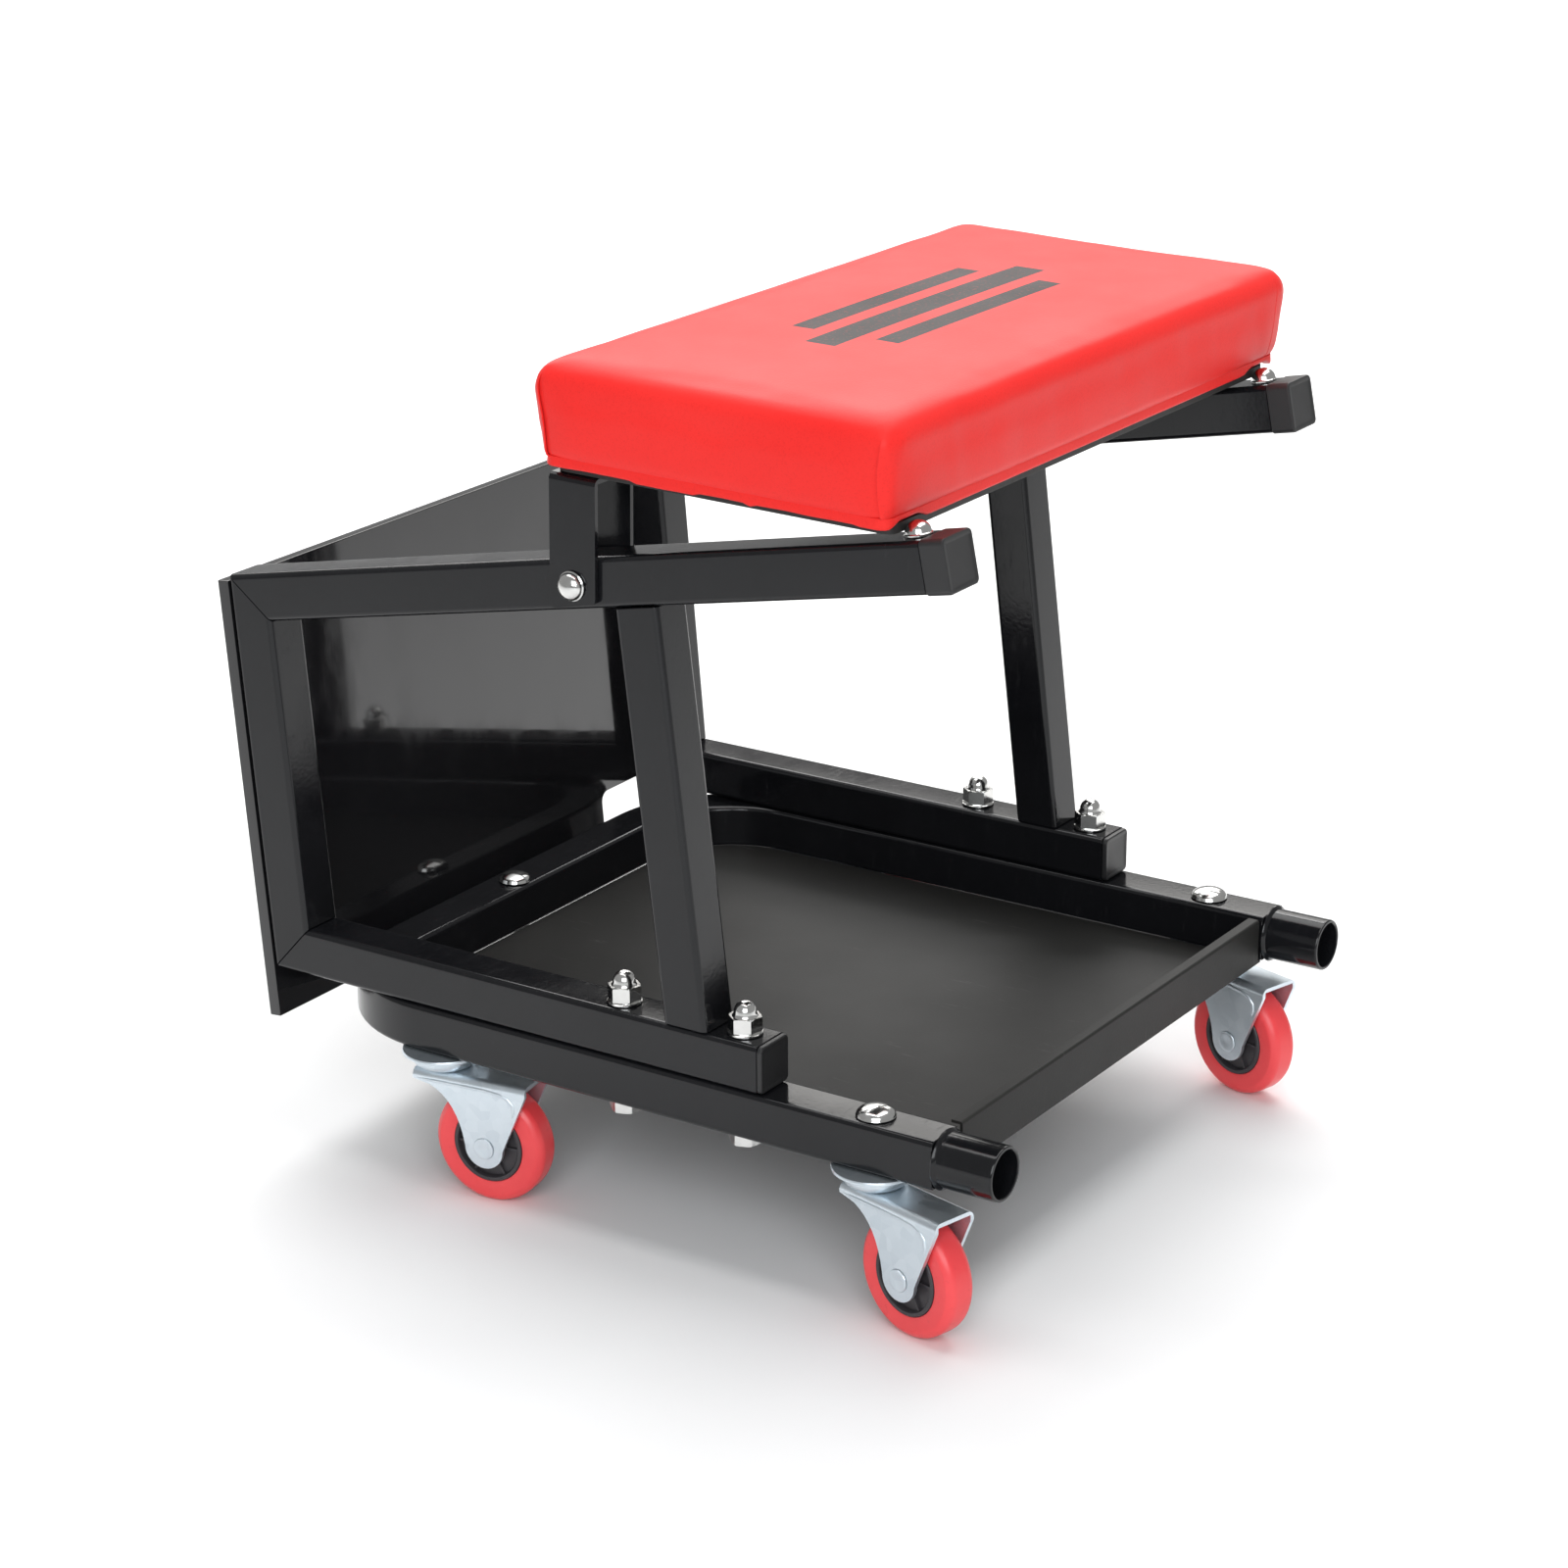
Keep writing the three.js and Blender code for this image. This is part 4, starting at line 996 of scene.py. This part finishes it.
for v in cushion.data.vertices:
    v.co = settled(v.co)
cushion.data.shade_smooth()

# The folded corners: the cover's spare cloth laps round each upright edge and lies flat
# on the end, its free edge standing off by its own thickness.


def corner_fold(x_side, y_side, surface):
    """A lap of vinyl round one upright corner of the cushion, on top of the cover."""
    rows, columns = 26, 22
    corner = Vector((x_side * CUSHION_HALF, CUSHION_FRONT if y_side < 0 else CUSHION_BACK, 0))
    centre = corner - Vector((x_side * 14 * mm, y_side * 14 * mm, 0))
    outer, inner = [], []
    for row in range(rows + 1):
        t = row / rows
        height = CUSHION_BASE + (0.03 + 0.86 * t) * (CUSHION_TOP - CUSHION_BASE)
        for column in range(columns + 1):
            s = column / columns
            # From square on the long side round to just past the corner on the short end.
            start, stop = 96 + 10 * (1 - t), 33 - 9 * math.sin(math.pi * t)
            angle = math.radians(start + (stop - start) * s)
            way = Vector((x_side * math.cos(angle), y_side * math.sin(angle), 0))
            from_out = Vector((centre.x, centre.y, height)) + way * 60 * mm
            hit, normal, *_ = surface.ray_cast(from_out, -way)
            lift = 0.1 * mm + 1.5 * mm * s ** 2
            taper = min(1, (1 - t) * 6, t * 9 + 0.35)
            outer.append(hit + normal * (lift * taper + 0.05 * mm))
            inner.append(hit + normal * ((lift - 0.75 * mm) * taper - 0.05 * mm))
    wide = columns + 1
    count = (rows + 1) * wide
    faces = []
    for row in range(rows):
        for column in range(columns):
            a = row * wide + column
            faces.append((a, a + 1, a + wide + 1, a + wide))
            faces.append((count + a, count + a + wide, count + a + wide + 1, count + a + 1))
    for row in range(rows):
        for column in (0, columns):
            a = row * wide + column
            faces.append((a, a + wide, count + a + wide, count + a))
    for column in range(columns):
        for row in (0, rows):
            a = row * wide + column
            faces.append((a, count + a, count + a + 1, a + 1))
    return outer + inner, faces


bm = bmesh.new()
bm.from_mesh(cushion.data)
surface = BVHTree.FromBMesh(bm)
bm.free()
folds = gathered(*[corner_fold(sx, sy, surface) for sx in (-1, 1) for sy in (-1, 1)])
solid("corner_folds", [seat_place @ v for v in folds[0]], folds[1], vinyl, "seat", "seat_vinyl", sharp=50)

# The hem: the cover's lower edge, drawn down round the board and turned in under it. It
# stops short over the stop bolts, and steps a little where it was cut.


def hem_low(x, y):
    """How low the hem hangs at a point of the outline, in millimetres over the pivot line."""
    if y < CUSHION_FRONT + 20 * mm:
        near_bolt = max(0, 1 - abs(abs(x) - 173 * mm) / (16 * mm))
        return 58.4 + 2.9 * min(1, near_bolt * 2.2)
    step = 1.1 if noise.noise(Vector((x * 40, y * 30, 2))) > 0.05 else 0
    return 57.9 + step + 0.3 * noise.noise(Vector((x * 60, y * 60, 5)))


def hem():
    """The turned-in strip all round, as (vertices, faces)."""
    inset = 4.7 * mm
    outline = rounded_outline(2 * (CUSHION_HALF - inset), 2 * (CUSHION_DEPTH_HALF - inset), 7 * mm)
    dense = []
    for i, (x, y) in enumerate(outline):
        nx, ny = outline[(i + 1) % len(outline)]
        parts = max(1, round(math.hypot(nx - x, ny - y) / (4 * mm)))
        dense += [(x + (nx - x) * k / parts, y + (ny - y) * k / parts) for k in range(parts)]
    rings = []
    for i, (x, y) in enumerate(dense):
        (px, py), (nx, ny) = dense[i - 1], dense[(i + 1) % len(dense)]
        out = Vector((ny - py, px - nx, 0)).normalized()
        point = Vector((x, y + CUSHION_MIDDLE, 0))
        low = hem_low(point.x, point.y) * mm
        top = CUSHION_BASE + 4 * mm
        section = [
            (-0.3, top), (0, low + 1.4 * mm), (-0.2, low + 0.5 * mm), (-0.8, low), (-4, low + 0.1 * mm),
            (-4, low + 1.0 * mm), (-1.8, low + 1.1 * mm), (-1.5, top),
        ]
        rings.append([point + out * o * mm + Z * h for o, h in section])
    rings.append(rings[0])
    return skin(rings)


drawn_down, hem_faces = hem()
solid("cushion_hem", [seat_place @ v for v in drawn_down], hem_faces, vinyl, "seat", "seat_vinyl", sharp=50)

for v in cushion.data.vertices:
    v.co = seat_place @ v.co
cushion.data.materials.clear()
cushion.data.materials.append(vinyl)
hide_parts("seat_cushion")
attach(cushion, "seat")

# ---------------------------------------------------------------------------------------
# The studio: a pale floor, a big soft light overhead, a softer one from the left and a
# bright card behind, so that top faces catch it.

floor_mesh = bpy.data.meshes.new("studio_floor")
floor_corners = [(14 * x, 14 * y, 0) for x, y in ((-1, -1), (1, -1), (1, 1), (-1, 1))]
floor_mesh.from_pydata(floor_corners, [], [(0, 1, 2, 3)])
floor = bpy.data.objects.new("studio_floor", floor_mesh)
bpy.context.scene.collection.objects.link(floor)
pale = Finish("pale_floor")
floor_mesh.materials.append(pale.surface(
    base_color=pale.mix(pale.cloud(2, 2), (0.90, 0.90, 0.90), (0.93, 0.93, 0.93)), roughness=0.9))


def soft_light(name, size, place, target, power, tint=(1, 1, 1)):
    """A rectangular light of a size in metres and a power in watts, facing its target."""
    data = bpy.data.lights.new(name, "AREA")
    data.shape = "RECTANGLE"
    data.size, data.size_y = size
    data.energy = power
    data.color = tint
    light = bpy.data.objects.new(name, data)
    light.location = place
    light.rotation_mode = "QUATERNION"
    light.rotation_quaternion = (Vector(target) - Vector(place)).to_track_quat("-Z", "Y")
    bpy.context.scene.collection.objects.link(light)


soft_light("overhead", (2.0, 2.0), (0.4, 0.15, 2.0), (0.4, 0.15, 0), 38)
soft_light("left_fill", (2.0, 1.6), (-2.2, -1.4, 1.5), (0, 0, 0.35), 46, (0.94, 0.97, 1))
soft_light("back_card", (3.2, 1.4), (2.45, 1.65, 1.93), (0, 0, 1.93), 34, (1, 0.98, 0.95))
soft_light("background", (4.5, 4.5), (3.6, 2.4, 3.8), (5.6, 3.7, 0), 400)

world = bpy.data.worlds.new("studio")
bpy.context.scene.world = world
world.use_nodes = True
world.node_tree.nodes["Background"].inputs["Color"].default_value = (1, 1, 1, 1)
world.node_tree.nodes["Background"].inputs["Strength"].default_value = 0.34
bpy.context.scene.view_settings.view_transform = "Standard"

# ---------------------------------------------------------------------------------------
# The camera: left of the front, a little above the seat.

CAMERA_AZIMUTH, CAMERA_ELEVATION = math.radians(-56.44), math.radians(19.64)
CAMERA_DISTANCE = 2.075
LOOK_AT = Vector((0, SHIFT, 190.5 * mm))
back = Vector((math.sin(CAMERA_AZIMUTH) * math.cos(CAMERA_ELEVATION),
               -math.cos(CAMERA_AZIMUTH) * math.cos(CAMERA_ELEVATION), math.sin(CAMERA_ELEVATION)))
camera_data = bpy.data.cameras.new("camera")
camera_data.lens = 89.9
camera_data.sensor_width = 36
camera_data.clip_start, camera_data.clip_end = 0.05, 100
camera = bpy.data.objects.new("camera", camera_data)
camera.location = LOOK_AT + back * CAMERA_DISTANCE
camera.rotation_mode = "QUATERNION"
roll = Matrix.Rotation(math.radians(-0.32), 4, "Z").to_quaternion()
camera.rotation_quaternion = (-back).to_track_quat("-Z", "Y") @ roll
bpy.context.scene.collection.objects.link(camera)
bpy.context.scene.camera = camera
